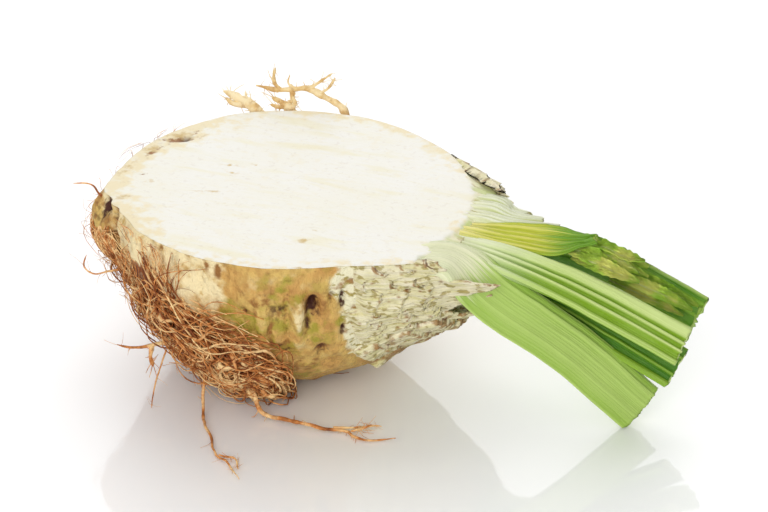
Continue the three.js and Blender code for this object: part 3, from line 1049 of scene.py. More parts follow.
@dataclass
class RootBody:
    """The half root itself: knife-flat cut face and knobbly, stained rind in one closed mesh."""

    rind: Rind
    columns: int = 560
    rows: int = 104
    rings: int = 46
    table_gap: float = 0.15 * MM
    noise_radius: float = 60.0
    deepest_ring: float = 89.2
    ribs_end: float = 30.0
    flesh_end: float = 59.5
    front_bend: float = 0.005
    back_bend: float = 0.011
    blemishes: tuple[Blemish, ...] = (
        # the deep crevice near the crown, with a nodule in it and a fold on each side
        Blemish(302, 16, 2, 4, rise=-4.6, dark=1.2),
        Blemish(300, 21, 1, 8, rise=-1.8, brown=0.7, dark=0.6),
        Blemish(302, 19, 1, 1, rise=2.6),
        Blemish(303, 28, 3, 9, rise=-1.0, green=0.65),
        Blemish(306, 35, 2, 4, rise=-2.0, brown=0.8, dark=0.5),
        Blemish(297, 20, 2, 13, rise=1.9, pale=0.6),
        Blemish(305, 23, 1, 8, rise=1.0),
        Blemish(305, 15, 3, 5, brown=0.5),
        # cracks and spots beside the first stalk base
        Blemish(308, 13, 1, 4, rise=-2.0, brown=0.6, dark=0.3),
        Blemish(312, 14, 1, 4, rise=-2.6, dark=0.9),
        Blemish(312, 22, 4, 5, green=0.6),
        Blemish(313, 26, 1, 2, rise=-2.2, dark=0.9),
        # the soft olive blotch and the grooves round it, two of them with painted shade
        Blemish(290, 16, 4, 4, rise=-1.2, green=0.5, brown=0.5, dark=0.4),
        Blemish(286, 13, 2, 3, brown=0.7),
        Blemish(293, 9, 8, 7, green=0.55),
        Blemish(294, 26, 15, 15, green=0.45),
        Blemish(294, 24, 3, 9, green=0.6),
        # painted shade: the dark share in this groove stands in for the shade beside the fold
        Blemish(293, 20, 1, 12, rise=-1.7, dark=0.35),
        # painted shade: the brown share in this groove stands in for the shade in the fold
        Blemish(287, 27, 1, 7, rise=-1.1, brown=0.7),
        Blemish(284, 24, 2, 6, rise=0.8),
        Blemish(281, 26, 1, 8, rise=-0.9),
        # yellow-green skin above the mat, with a sunken spot
        Blemish(279, 24, 10, 8, green=0.7),
        Blemish(270, 19, 7, 5, green=0.5),
        Blemish(281, 14, 5, 6, brown=0.4),
        Blemish(278, 18, 1, 1, rise=-1.3, brown=0.8, dark=0.6),
        # underneath
        Blemish(292, 33, 3, 3, brown=0.8, dark=0.5),
        Blemish(300, 45, 9, 5, brown=0.5),
        Blemish(300, 52, 14, 9, green=0.55),
        # the smooth cream skin under the front rim
        Blemish(275, 12, 1, 9, rise=-0.7),
        Blemish(272, 6, 1, 5, rise=-0.6),
        Blemish(269, 4, 1, 3, brown=0.7),
        Blemish(265, 3, 1, 3, brown=0.6),
        Blemish(262, 7, 1, 8, rise=-0.8),
        Blemish(255, 3, 2, 9, rise=0.8),
        Blemish(246, 5, 1, 6, rise=-1.0, brown=0.4),
        # bumps in the mat and on the knob beside the root pole
        Blemish(234, 6, 3, 8, rise=1.6),
        Blemish(226, 34, 2, 3, rise=1.8),
        Blemish(221, 28, 3, 3, rise=2.0),
        Blemish(216, 8, 2, 9, rise=-5.0, brown=0.5, dark=0.8),
        Blemish(209, 2, 3, 4, rise=-4.5, dark=1.0),
        Blemish(205, 6, 12, 10, brown=0.3),
        Blemish(203, 24, 8, 2, rise=-2.4, brown=0.45, dark=0.6),
        Blemish(196, 18, 6, 2, rise=-2.0),
    )
    face_marks: tuple[FaceMark, ...] = (
        # the browned hollow at the back rim, beside the root pole
        FaceMark("pit", -47, 21, 2, 1, 60, 0.9),
        FaceMark("stain", -49, 19, 5, 1.5, 30, 1.0),
        FaceMark("spot", -50, 21, 6, 4, 40, 0.6),
        FaceMark("stain", -46, 26, 5, 0.5, 80, 0.7),
        FaceMark("stain", -44, 24, 3, 0.5, 40, 0.6),
        # small brown strokes along the root pole
        FaceMark("spot", -54, 9, 3, 4, 0, 0.55),
        FaceMark("stain", -53, 7, 1, 2, 0, 1.0),
        FaceMark("stain", -52, 11, 3.5, 0.5, 65, 0.8),
        FaceMark("stain", -53, 4, 2.5, 0.5, 300, 0.7),
        FaceMark("stain", -49, -8, 1.5, 0.6, 15, 0.85),
        FaceMark("spot", -55, -6, 1.5, 7, 0, 0.5),
        FaceMark("spot", -47, -25, 3, 1.5, 40, 0.55),
        FaceMark("spot", -45, -12, 3, 2, 30, 0.3),
        # tan flecks in the flesh
        FaceMark("spot", -25, 9, 2.5, 1, 15, 0.55),
        FaceMark("spot", -23, 4, 2, 1, 10, 0.65),
        FaceMark("spot", -18, 12, 1, 0.6, 0, 0.8),
        FaceMark("spot", -24, -11, 6, 0.8, 20, 0.45),
        FaceMark("spot", -17, -17, 3, 0.6, 30, 0.35),
        FaceMark("spot", 18, -30, 2, 1.4, 60, 0.75),
        FaceMark("spot", 18, -22, 1, 0.7, 0, 0.6),
        FaceMark("spot", 24, -47, 2, 1, 0, 0.7),
    )

    def strongest(self, colour: str, turn: Array, dip: Array) -> Array:
        """Greatest share of one colour among the blemishes.

        Args:
            colour: Name of the blemishes' field that holds the colour's share.
            turn, dip: Angles round +Z and below the cut face, in degrees.

        Returns:
            The share at each place.
        """
        return np.max([getattr(spot, colour) * spot.on(turn, dip) for spot in self.blemishes], axis=0)

    def past_flesh(self, points: Array) -> Array:
        """How far points in millimetres lie beyond the curved end of the flesh, towards the stalks.

        Args:
            points: Places in millimetres.

        Returns:
            Distances in millimetres, below 0 in the flesh.
        """
        y = points[..., 1]
        bend = np.where(y < 0, self.front_bend, self.back_bend)
        return points[..., 0] - (self.flesh_end - bend * y**2)

    def relief(self, turn: Array, dip: Array) -> Array:
        """Height of the rind's own relief, in millimetres.

        Args:
            turn, dip: Angles round +Z and below the cut face, in degrees.

        Returns:
            Heights in millimetres.
        """
        place = self.rind.direction(turn, dip) * self.noise_radius
        coarse, medium, fine = Noise(11, 24.0), Noise(12, 8.5), Noise(13, 2.7)
        long = place * np.array([1.0, 1.0, 0.28])
        folds = Noise(14, 7.0)
        height = 1.0 * coarse.rough(place) + 0.55 * medium.rough(place) + 0.26 * fine.rough(place, 2)
        front = ease(250, 275, turn) * ease(330, 312, turn)
        height += front * (1.1 * folds.rough(long, 2) - 0.3)
        left = ease(180, 200, turn) * ease(262, 236, turn)
        height += left * (0.9 * Noise(15, 4.5).rough(place, 2) + 0.8 * Noise(16, 9.0)(long))
        height += sum(spot.rise * spot.on(turn, dip) for spot in self.blemishes)
        calm = 0.35 + 0.25 * ease(105, 125, turn) * ease(222, 206, turn)
        bevel = 0.9 * ease(4, 0, dip) * ease(262, 250, turn)
        return height * (calm + (1 - calm) * ease(0, 3, dip)) - bevel

    def masks(self, turn: Array, dip: Array) -> dict[str, Array]:
        """Masks of the rind's colours at angles.

        Args:
            turn, dip: Angles round +Z and below the cut face, in degrees.

        Returns:
            Each mask by name.
        """
        place = self.rind.direction(turn, dip) * self.noise_radius
        sway = Noise(21, 9.0).rough(place, 3)
        across_x = np.degrees(np.arccos(np.clip(place[..., 0] / self.noise_radius, -1, 1)))
        inside = dip - Matted.upper(turn) + 3.0 * sway
        left = ease(277, 262, turn + 5 * sway) * ease(215, 222, turn)
        knob = ease(185, 195, turn) * ease(222, 214, turn) * (0.6 + sway)
        cream = np.maximum(left, 0.6 * knob) * ease(34, 10, dip)
        return {
            "green": self.strongest("green", turn, dip) + 0.12 * sway,
            "cream": np.maximum(cream, self.strongest("pale", turn, dip) + 0.3 * sway),
            "brown": np.maximum(self.strongest("brown", turn, dip), 0.65 * ease(50, 80, dip + 8 * sway)),
            "dark": self.strongest("dark", turn, dip),
            "earth": np.clip(0.5 + 0.16 * inside, 0, 1) * (inside > -6),
            "crown": ease(55.0, 49.0, across_x + 4.0 * sway),
        }

    def face_values(self, points: Array, share: Array) -> dict[str, Array]:
        """Masks of the cut face's colours at points in millimetres; share is 1 on the rim.

        Args:
            points: Places in millimetres.
            share: From 0 in the middle to 1 on the rim.

        Returns:
            Each mask by name.
        """
        found = {"pit": 0.0, "stain": 0.0, "spot": 0.0}
        for spot in self.face_marks:
            found[spot.kind] = np.maximum(found[spot.kind], spot.on(points))
        sway = Noise(22, 12.0).rough(points, 3)
        turn = np.degrees(np.arctan2(points[..., 1], points[..., 0])) % 360
        rim = ease(0.86, 1.0, share + 0.05 * sway)
        pole = ease(120, 150, turn) * ease(262, 225, turn) * ease(0.76, 0.98, share + 0.08 * sway)
        found["edge"] = np.maximum(0.55 * rim, 0.8 * pole)
        found["sheath"] = self.beyond_flesh(points)
        return found

    def beyond_flesh(self, points: Array) -> Array:
        """Share of the stalk bases past the flesh's end, at points in millimetres."""
        sway = Noise(24, 5.0).rough(points, 2)
        return ease(-0.4, 0.8, self.past_flesh(points) + 1.2 * sway)

    def shell(self) -> Shell:
        """Builds the closed mesh with its masks.

        Returns:
            The shell: rind, its lowest point, cut face, its middle.
        """
        turns = np.arange(self.columns) * 360 / self.columns
        dips = self.deepest_ring * np.linspace(0, 1, self.rows) ** 1.12
        turn, dip = np.meshgrid(turns, dips)
        rind = self.rind.point(turn, dip, MM * self.relief(turn, dip))
        rind[..., 2] = np.maximum(rind[..., 2], self.table_gap)
        rim = rind[0]
        rim[:, 2] = self.rind.centre[2]
        rest = np.array([[0.0, 0.0, self.table_gap]])
        share = 1 - np.linspace(0, 1, self.rings + 1)[1:-1] ** 1.25
        face = self.rind.centre + (rim - self.rind.centre)[None] * share[:, None, None]
        spread = np.broadcast_to(share[:, None], face.shape[:2])
        stain = self.face_values(face / MM, spread)
        ripple = Noise(23, 5.0).rough(face / MM * np.array([0.4, 1.0, 1.0]), 2)
        past = np.clip(self.past_flesh(face / MM), 0, self.ribs_end)
        ribs = Noise(25, 2.6).rough(face / MM * np.array([0.16, 1.0, 1.0]), 3)
        drop = np.maximum(stain["sheath"] * (0.6 + 0.16 * past - 1.3 * ribs), 0)
        sunk = 0.07 * ripple - 1.4 * stain["pit"] - 0.5 * stain["stain"]
        face[..., 2] += MM * (sunk * ease(1.0, 0.985, spread) - drop)
        past_rim = np.clip(self.past_flesh(rim / MM), 0, self.ribs_end)
        rim[:, 2] -= MM * self.beyond_flesh(rim / MM) * (0.8 + 0.2 * past_rim)
        below = rim[:, 2] - MM * 0.05 * np.arange(self.rows)[:, None]
        rind[1:, :, 2] = np.minimum(rind[1:, :, 2], below[1:])
        points = np.concatenate([rind.reshape(-1, 3), rest, face.reshape(-1, 3), self.rind.centre[None]])
        skin_count, face_count = rind[..., 0].size, face[..., 0].size
        rim_stain = self.face_values(rim / MM, np.ones(self.columns))
        masks = self.masks(turn, dip)
        bare = np.zeros(face_count + 2)
        values = {k: np.concatenate([v.ravel(), bare]) for k, v in masks.items()}
        for key, numbers in stain.items():
            own = np.zeros(skin_count)
            own[: self.columns] = rim_stain[key]
            values[key] = np.concatenate([own, [0], numbers.ravel(), [0]])
        cut = np.zeros(skin_count)
        cut[: self.columns] = 0.5
        values["cut"] = np.concatenate([cut, [0], np.ones(face_count + 1)])
        ring = np.arange(self.columns)
        first = skin_count + 1
        last_face = first + face_count - self.columns
        faces = [
            grid_faces(self.rows, self.columns, True),
            fan(skin_count, skin_count - self.columns + ring, False),
            grid_faces(self.rings - 1, self.columns, True, first)[:, ::-1],
            np.stack([ring, np.roll(ring, -1), first + np.roll(ring, -1), first + ring], axis=1),
            fan(first + face_count, last_face + ring, True),
        ]
        return Shell(points, faces, values)

    def build(self, finish: RootFinish) -> Object:
        """Makes the piece, with a sharp edge where the knife met the rind.

        Args:
            finish: Look of flesh and rind.

        Returns:
            The piece.
        """
        mesh = self.shell().mesh("root_body", finish.material())
        ends = np.empty(len(mesh.edges) * 2, np.int32)
        mesh.edges.foreach_get("vertices", ends)
        sharp = (ends.reshape(-1, 2) < self.columns).all(axis=1)
        mesh.attributes.new("sharp_edge", "BOOLEAN", "EDGE").data.foreach_set("value", sharp)
        return show("root_body", mesh, Slot.ROOT, self.rind.node)


# ---- trimmed stalk bases round the crown ----


@dataclass(frozen=True)
class Scale:
    """One trimmed stalk base: its place round the crown and the tongue it ends in."""

    round: float
    width: float
    start: float
    tongue: float
    tip: float
    lift: float
    worn: float = 0.0


@dataclass
class CrownScales:
    """The crown's wrap of trimmed stalk bases, stepped, fibrous and torn at their ends."""

    rind: Rind
    rows: int = 110
    columns: int = 52
    neck_angle: float = 24.5
    path_points: int = 60
    straight: float = 60.0
    tongue_width: float = 0.22
    rip: float = 2.2
    tooth: float = 2.0
    teeth: float = 6.3
    scar_rip: float = 2.6
    scar_tooth: float = 1.8
    fibre_height: float = 0.42
    lump_height: float = 0.55
    sink: float = 0.8
    draw_seed: int = 300
    teeth_seed: int = 40
    fibre_seed: int = 60
    lump_seed: int = 70
    edge_thick: float = 1.3
    root_thick: float = 2.6
    scar_ends: tuple[float, ...] = (9.0, 17.0, 24.0)
    scar_rises: tuple[float, ...] = (1.1, 1.5, 2.2)
    scales: tuple[Scale, ...] = (
        Scale(16, 36, 47, 18.0, 0.12, 1.4),
        Scale(39, 31, 51, 15.0, -0.05, 0.6),
        Scale(62, 30, 55, 5.0, 0.15, 1.6, 0.22),
        Scale(86, 30, 59, 4.0, -0.2, 2.2, 0.45),
        Scale(110, 30, 58, 4.0, 0.1, 1.2, 0.35),
        Scale(134, 29, 56, 3.0, 0.0, 0.8, 0.2),
        Scale(154, 24, 54, 4.0, 0.1, 0.5),
        Scale(171, 22, 50, 3.0, -0.1, 0.2),
    )

    def path(self, scale: Scale, round_x: float, length: Array) -> tuple[Array, Array, float]:
        """Line down the crown and on past the neck.

        Args:
            scale: The stalk base.
            round_x: Angle round the crown.
            length: Distances along the line, in millimetres.

        Returns:
            Points on the line, the outward direction at each, and the distance to the neck.
        """
        from_x = np.linspace(scale.start, self.neck_angle, self.path_points)
        turn, dip = self.rind.crown_angles(from_x, np.full(self.path_points, round_x))
        line = self.rind.point(turn, dip) / MM
        heading = unit(unit(line[-1] - line[-8]) + np.array([0.9, 0.0, 0.0]))
        line = np.vstack([line, line[-1] + self.straight * heading])
        run = np.concatenate([[0], np.cumsum(np.linalg.norm(np.diff(line, axis=0), axis=1))])
        points = np.stack([np.interp(length, run, line[:, k]) for k in range(3)], axis=-1)
        away = points - self.rind.centre / MM
        axis = np.array([0.35, 0.0, 0.0])
        outward = unit(unit(away * np.array([0.0, 1.0, 1.0])) + axis)
        return points, outward, run[-2]

    def shell(self, number: int, scale: Scale) -> Shell:
        """Builds one stalk base.

        Args:
            number: Its place in the row of bases, which seeds its tears.
            scale: Its sizes.

        Returns:
            The closed shell.
        """
        draw = np.random.default_rng(self.draw_seed + number)
        share = np.linspace(-0.5, 0.5, self.columns)
        teeth = Noise(self.teeth_seed + number, 0.09)
        torn = teeth(np.stack([share, share * 0, share * 0], axis=-1))
        jag = np.abs(((share * self.teeth + draw.uniform()) % 1) - 0.5) * 2
        outer, inner, values = [], [], {"across": [], "along": [], "aged": [], "deep": []}
        for v, rip, tooth in zip(share, torn, jag):
            reach = scale.tongue * np.exp(-(((v - scale.tip) / self.tongue_width) ** 2))
            reach = reach + self.rip * rip + self.tooth * tooth
            neck = self.path(scale, scale.round + scale.width * v, np.zeros(1))[2]
            length = np.linspace(0, 1, self.rows) * (neck + 1.0 + reach)
            turn_share = np.clip(length / neck, 0, 1)
            narrow = 1 - 0.12 * turn_share**3
            points, outward, _ = self.path(scale, scale.round + scale.width * v * narrow[-1], length)
            shift = self.scar_rip * rip + self.scar_tooth * tooth * (1 + 0.8 * rip)
            lift, aged, deep = self.steps(length, shift, neck)
            along = np.stack([0 * length + 38 * v, length / 9, 0 * length], axis=-1)
            fibre = Noise(self.fibre_seed + number, 1.0)(along)
            lump = Noise(self.lump_seed, 3.2)(points)
            side = ease(-0.5, -0.4, np.full(1, v)) * ease(0.5, 0.36, np.full(1, v))
            height = scale.lift + lift + self.fibre_height * fibre + self.lump_height * lump
            start = -self.sink + (height + self.sink) * ease(0, 5, length)
            height = start * side + (1 - side) * (0.35 * height - 0.6)
            end = ease(neck + reach - 1.5, neck + reach + 1.0, length)
            thick = self.edge_thick + self.root_thick * ease(neck + 3, neck - 8, length)
            outer.append(points + outward * (height - 0.5 * end)[:, None])
            inner.append(points + outward * (height - thick * (1 - 0.55 * end) - 0.4)[:, None])
            values["across"].append(np.full(self.rows, v + number))
            values["along"].append(length / 30)
            worn = scale.worn + 0.4 * end + 0.15 * (1 - side)
            values["aged"].append(np.clip(aged + worn, 0, 1))
            values["deep"].append(np.clip(deep, 0, 1))
        grids = {key: np.array(rows) for key, rows in values.items()}
        low = self.rind.centre[2] - 0.2 * MM
        outer, inner = MM * np.array(outer), MM * np.array(inner)
        for grid in (outer, inner):
            grid[..., 2] = np.minimum(grid[..., 2], low)
        return slab(outer, inner, grids)

    def steps(self, length: Array, shift: float, neck: float) -> tuple[Array, Array, Array]:
        """Stepped rise of the leaf scars along a stalk base.

        Args:
            length: Distances along the base, in millimetres.
            shift: How far this line's scar ends are moved.
            neck: Distance at which the base leaves the crown.

        Returns:
            The rise, the browned share and the share of painted shade at the foot of each step, at each
            distance.
        """
        rise, aged, deep = np.zeros(len(length)), np.zeros(len(length)), np.zeros(len(length))
        start = 0.0
        for end, height in zip(self.scar_ends, self.scar_rises):
            stop = end / self.scar_ends[-1] * neck * 0.98 + shift - 2.5
            inside = (length >= start) & (length < stop)
            share = np.clip((length - start) / max(stop - start, 1e-6), 0, 1)
            rise = np.where(inside, 0.3 + height * share**1.3, rise)
            aged = np.maximum(aged, np.where(inside, 0.62 * ease(0.86, 1.0, share), 0))
            # painted shade: a dark line in the crease just past each step's raised end
            deep = np.maximum(deep, 0.6 * np.exp(-(((length - stop - 0.4) / 0.5) ** 2)))
            start = stop
        rise = np.where(length >= start, 0.8, rise)
        return rise, aged, deep

    def build(self, finish: BaseFinish) -> None:
        """Makes the eight pieces.

        Args:
            finish: Their look.
        """
        material = finish.material()
        for number, scale in enumerate(self.scales, start=1):
            name = f"stalk_base_{number}"
            mesh = self.shell(number, scale).mesh(name, material)
            show(f"trimmed_{name}", mesh, Slot.BASE, name)


# ---- stalks ----


@dataclass(frozen=True)
class Station:
    """One cross-section: place in mm, on or near the CAD stalk's own, facing, and sizes in mm."""

    at: tuple[float, float, float]
    faces: tuple[float, float, float]
    half: float
    deep: float
    hollow: float
    lip: float


@dataclass(frozen=True)
class Rib:
    """Ridge along a stalk's face: middle and half width as shares of the half width, height in mm."""

    middle: float
    width: float
    height: float


@dataclass
class Stalk:
    """Leaf stalk swept along its stations: ribbed hollow face, rounded back, ragged cut end."""

    node: str
    stations: tuple[Station, ...]
    ribs: tuple[Rib, ...]
    seed: int
    rows: int = 150
    face_points: int = 64
    back_points: int = 40
    cap_rings: int = 7
    ruffle: float = 0.25
    tear: float = 0.4
    pore: tuple[float, float, float] = (0.0, 0.0, 0.0)
    floor: float = 0.15
    fibre_stretch: float = 14.0
    fibre_height: float = 0.09
    rim_points: int = 3
    lip_share: float = 0.6
    back_ridge: float = 0.6
    back_tint: float = 0.85
    lip_tint: float = 0.8

    def frames(self) -> tuple[Array, Array, Array, Array, Array]:
        """Places, side, up and along directions, and sizes at each row.

        Returns:
            Middles, the three directions and the sizes, one row for each cross-section.
        """
        places = np.array([s.at for s in self.stations], float)
        sizes = np.array([[*s.faces, s.half, s.deep, s.hollow, s.lip] for s in self.stations])
        both = spline(np.hstack([places, sizes]), self.rows)
        middle, facing, size = both[:, :3], both[:, 3:6], both[:, 6:]
        along = unit(np.gradient(middle, axis=0))
        side = unit(np.cross(facing, along))
        up = unit(np.cross(along, side))
        return middle, side, up, along, size

    def profile(self, across: Array) -> tuple[Array, Array]:
        """Height of the ribs across the face, in mm, and how much each place is a ridge.

        Args:
            across: Places across the face, from -1 to 1.

        Returns:
            Heights in millimetres and shares of ridge.
        """
        height = np.zeros_like(across)
        for rib in self.ribs:
            height = np.maximum(height, rib.height * np.exp(-(((across - rib.middle) / rib.width) ** 4)))
        top = max((rib.height for rib in self.ribs), default=1.0)
        return height, np.clip(height / top, 0, 1)

    def shell(self) -> Shell:
        """Builds the closed swept mesh.

        Returns:
            The shell: swept sides, cut end and closed foot.
        """
        middle, side, up, along, size = self.frames()
        half, deep, hollow, lip = (size[:, k, None] for k in range(4))
        angle = np.radians(np.linspace(180, 360, self.back_points, endpoint=False))
        back_x, back_y = half * np.cos(angle), deep * np.sin(angle)
        share = np.linspace(1, -1, self.face_points)
        bowl = np.sqrt(np.clip(1 - share**2, 0, 1))
        rib, ridge = self.profile(share)
        off_middle = np.abs(share)
        rise = lip * self.lip_share * ease(1.0, 0.9, off_middle)
        rise = rise - hollow * bowl + rib * ease(1.0, 0.93, off_middle)
        face_x = np.broadcast_to(half * share, rise.shape)
        x = np.hstack([back_x, face_x])
        y = np.hstack([back_y, rise])
        columns = x.shape[1]
        grid = middle[:, None] + side[:, None] * x[..., None] + up[:, None] * y[..., None]
        length = np.concatenate([[0], np.cumsum(np.linalg.norm(np.diff(middle, axis=0), axis=1))])
        travel = length / length[-1]
        bend = Noise(self.seed, 9.0).rough(grid, 2)[..., None]
        drawn_out = np.stack([x, y, 0 * x + length[:, None] / self.fibre_stretch], axis=-1)
        fine = Noise(self.seed + 1, 1.1)(drawn_out)[..., None]
        outward = unit(side[:, None] * x[..., None] * 0.6 + up[:, None] * y[..., None])
        grid = grid + outward * (self.ruffle * bend + self.fibre_height * fine)
        torn = Noise(self.seed + 2, 2.2).rough(np.stack([x[-1], y[-1], 0 * x[-1]], axis=-1), 3)
        pull = ease(0.93, 1.0, travel)[:, None, None]
        grid = grid + along[-1] * pull * (self.tear * torn)[None, :, None]
        cap, cap_values = self.end_cap(grid[-1], along[-1])
        foot = grid[0].mean(axis=0)
        face_part = np.concatenate([np.zeros(self.back_points), np.ones(self.face_points)])
        rim = np.ones(self.rim_points)
        edge = np.concatenate([rim, np.zeros(self.back_points - 2 * self.rim_points), rim])
        pale = np.concatenate([edge, ease(0.9, 0.98, off_middle)])
        back_ridge = np.full(self.back_points, self.back_ridge)
        values = {
            "across": np.broadcast_to(np.concatenate([1.5 - angle / math.pi, share]), x.shape),
            "along": np.broadcast_to(travel[:, None], x.shape),
            "ridge": np.broadcast_to(np.concatenate([back_ridge, ridge]), x.shape),
            "back": np.broadcast_to(1 - face_part, x.shape) * self.back_tint,
            "lip": np.broadcast_to(pale, x.shape) * self.lip_tint,
            "end": np.zeros(x.shape),
            "pore": np.zeros(x.shape),
        }
        count = self.rows * columns
        cap_count = len(cap)
        points = np.concatenate([grid.reshape(-1, 3), cap, foot[None]])
        points[:, 2] = np.maximum(points[:, 2], self.floor)
        plain = {"along": 1.0, "ridge": self.back_ridge}
        filled = {}
        for key, numbers in values.items():
            on_cap = cap_values.get(key, np.full(cap_count, plain.get(key, 0.0)))
            filled[key] = np.concatenate([numbers.ravel(), on_cap, [0.0]])
        ring = np.arange(columns)
        faces = [grid_faces(self.rows, columns, True)[:, ::-1], fan(count + cap_count, ring, False)]
        previous = count - columns + ring
        for k in range(self.cap_rings - 1):
            now = count + k * columns + ring
            faces.append(np.stack([previous, np.roll(previous, -1), np.roll(now, -1), now], axis=1))
            previous = now
        faces.append(fan(count + cap_count - 1, previous, True))
        return Shell(MM * points, faces, filled)

    def end_cap(self, rim: Array, along: Array) -> tuple[Array, dict[str, Array]]:
        """Points of the cut end inside its rim, ring by ring, with its colour masks.

        Args:
            rim: Points round the end.
            along: Direction the stalk runs in.

        Returns:
            The rings' points, then the middle point, and the masks on them.
        """
        middle = rim.mean(axis=0)
        share = 1 - np.arange(1, self.cap_rings) / self.cap_rings
        rings = middle + (rim - middle)[None] * share[:, None, None]
        points = np.concatenate([rings.reshape(-1, 3), middle[None]])
        rough = Noise(self.seed + 3, 1.4).rough(points, 2)
        across, up, size = self.pore
        hole = np.zeros(len(points))
        if size:
            reach = np.linalg.norm(rim - middle, axis=1)
            widest = rim[np.argmax(reach)] - middle
            centre = middle + across * widest
            hole = np.exp(-((np.linalg.norm(points - centre, axis=1) / size) ** 2))
        points = points + along * (0.35 * self.tear * rough - up * hole)[:, None]
        return points, {"end": np.ones(len(points)), "pore": hole}

    def build(self, name: str, material: Material, slot: Slot) -> Object:
        """Makes the piece."""
        return show(name, self.shell().mesh(name, material), slot, self.node)


# ---- young leaves ----


@dataclass(frozen=True)
class Leaflet:
    """One small leaf: path offsets in mm from the node's low corner, facing, width and curl."""

    path: tuple[tuple[float, float, float], ...]
    faces: tuple[float, float, float]
    width: float
    fold: float
    crumple: float
    age: float
    teeth: int


@dataclass
class YoungLeaf:
    """Bunch of crumpled leaflets with toothed edges."""

    node: str
    leaflets: tuple[Leaflet, ...]
    seed: int
    rows: int = 64
    columns: int = 34
    thick: float = 0.35
    veins: int = 7
    tooth_depth: float = 0.22
    vein_width: float = 0.09

    def shell(self, number: int, leaflet: Leaflet) -> Shell:
        """Builds one leaflet.

        Args:
            number: Its place in the bunch, which seeds its creases.
            leaflet: Its sizes.

        Returns:
            The closed shell.
        """
        middle = spline(np.array([from_low_corner(self.node, p) for p in leaflet.path]) / MM, self.rows)
        along = unit(np.gradient(middle, axis=0))
        side = unit(np.cross(np.array(leaflet.faces, float), along))
        up = unit(np.cross(along, side))
        travel = np.linspace(0, 1, self.rows)[:, None]
        share = np.linspace(-1, 1, self.columns)[None, :]
        shape = np.sin(math.pi * (0.06 + 0.9 * travel) ** 0.8) ** 0.7
        off_middle = np.abs(share)
        tooth = 1 + self.tooth_depth * np.abs(((travel * leaflet.teeth) % 1) - 0.5) * off_middle**2
        x = leaflet.width * shape * tooth * share
        lie = leaflet.fold * leaflet.width * off_middle**1.5 * shape
        flat = np.stack([x + 5 * number, travel * 14 + 0 * x, 0 * x], axis=-1)
        large, small = Noise(self.seed + number, 3.4), Noise(self.seed + 9, 1.3)
        crease = leaflet.crumple * (large(flat) + 0.5 * small(flat))
        vein_wave = 0.25 * np.cos(2 * math.pi * (travel * self.veins + off_middle * 1.2))
        y = lie + crease + vein_wave * off_middle
        outer = middle[:, None] + side[:, None] * x[..., None] + up[:, None] * y[..., None]
        inner = outer - up[:, None] * self.thick
        vein = np.exp(-((share / self.vein_width) ** 2)) * (1 - travel)
        turns = 2 * math.pi * (travel * self.veins - off_middle * 1.6)
        side_vein = 0.5 * ease(0.9, 1.0, np.cos(turns))
        age = leaflet.age + 0.35 * off_middle + 0.2 * travel
        values = {
            "across": share + 0 * x,
            "along": travel + 0 * x,
            "age": age + 0 * x,
            "vein": np.clip(vein + side_vein * (1 - off_middle), 0, 1),
        }
        return slab(MM * outer, MM * inner, values)

    def build(self, name: str, material: Material) -> Object:
        """Makes the piece from its leaflets."""
        parts = [self.shell(i, leaflet).mesh(name, material) for i, leaflet in enumerate(self.leaflets)]
        return show(name, joined(name, parts), Slot.YOUNG_LEAF, self.node)


# ---- rootlets ----


@dataclass
class Strands:
    """Lines of points in mm with a radius and a tone at each, all of the same length."""

    points: Array
    radius: Array
    shade: Array


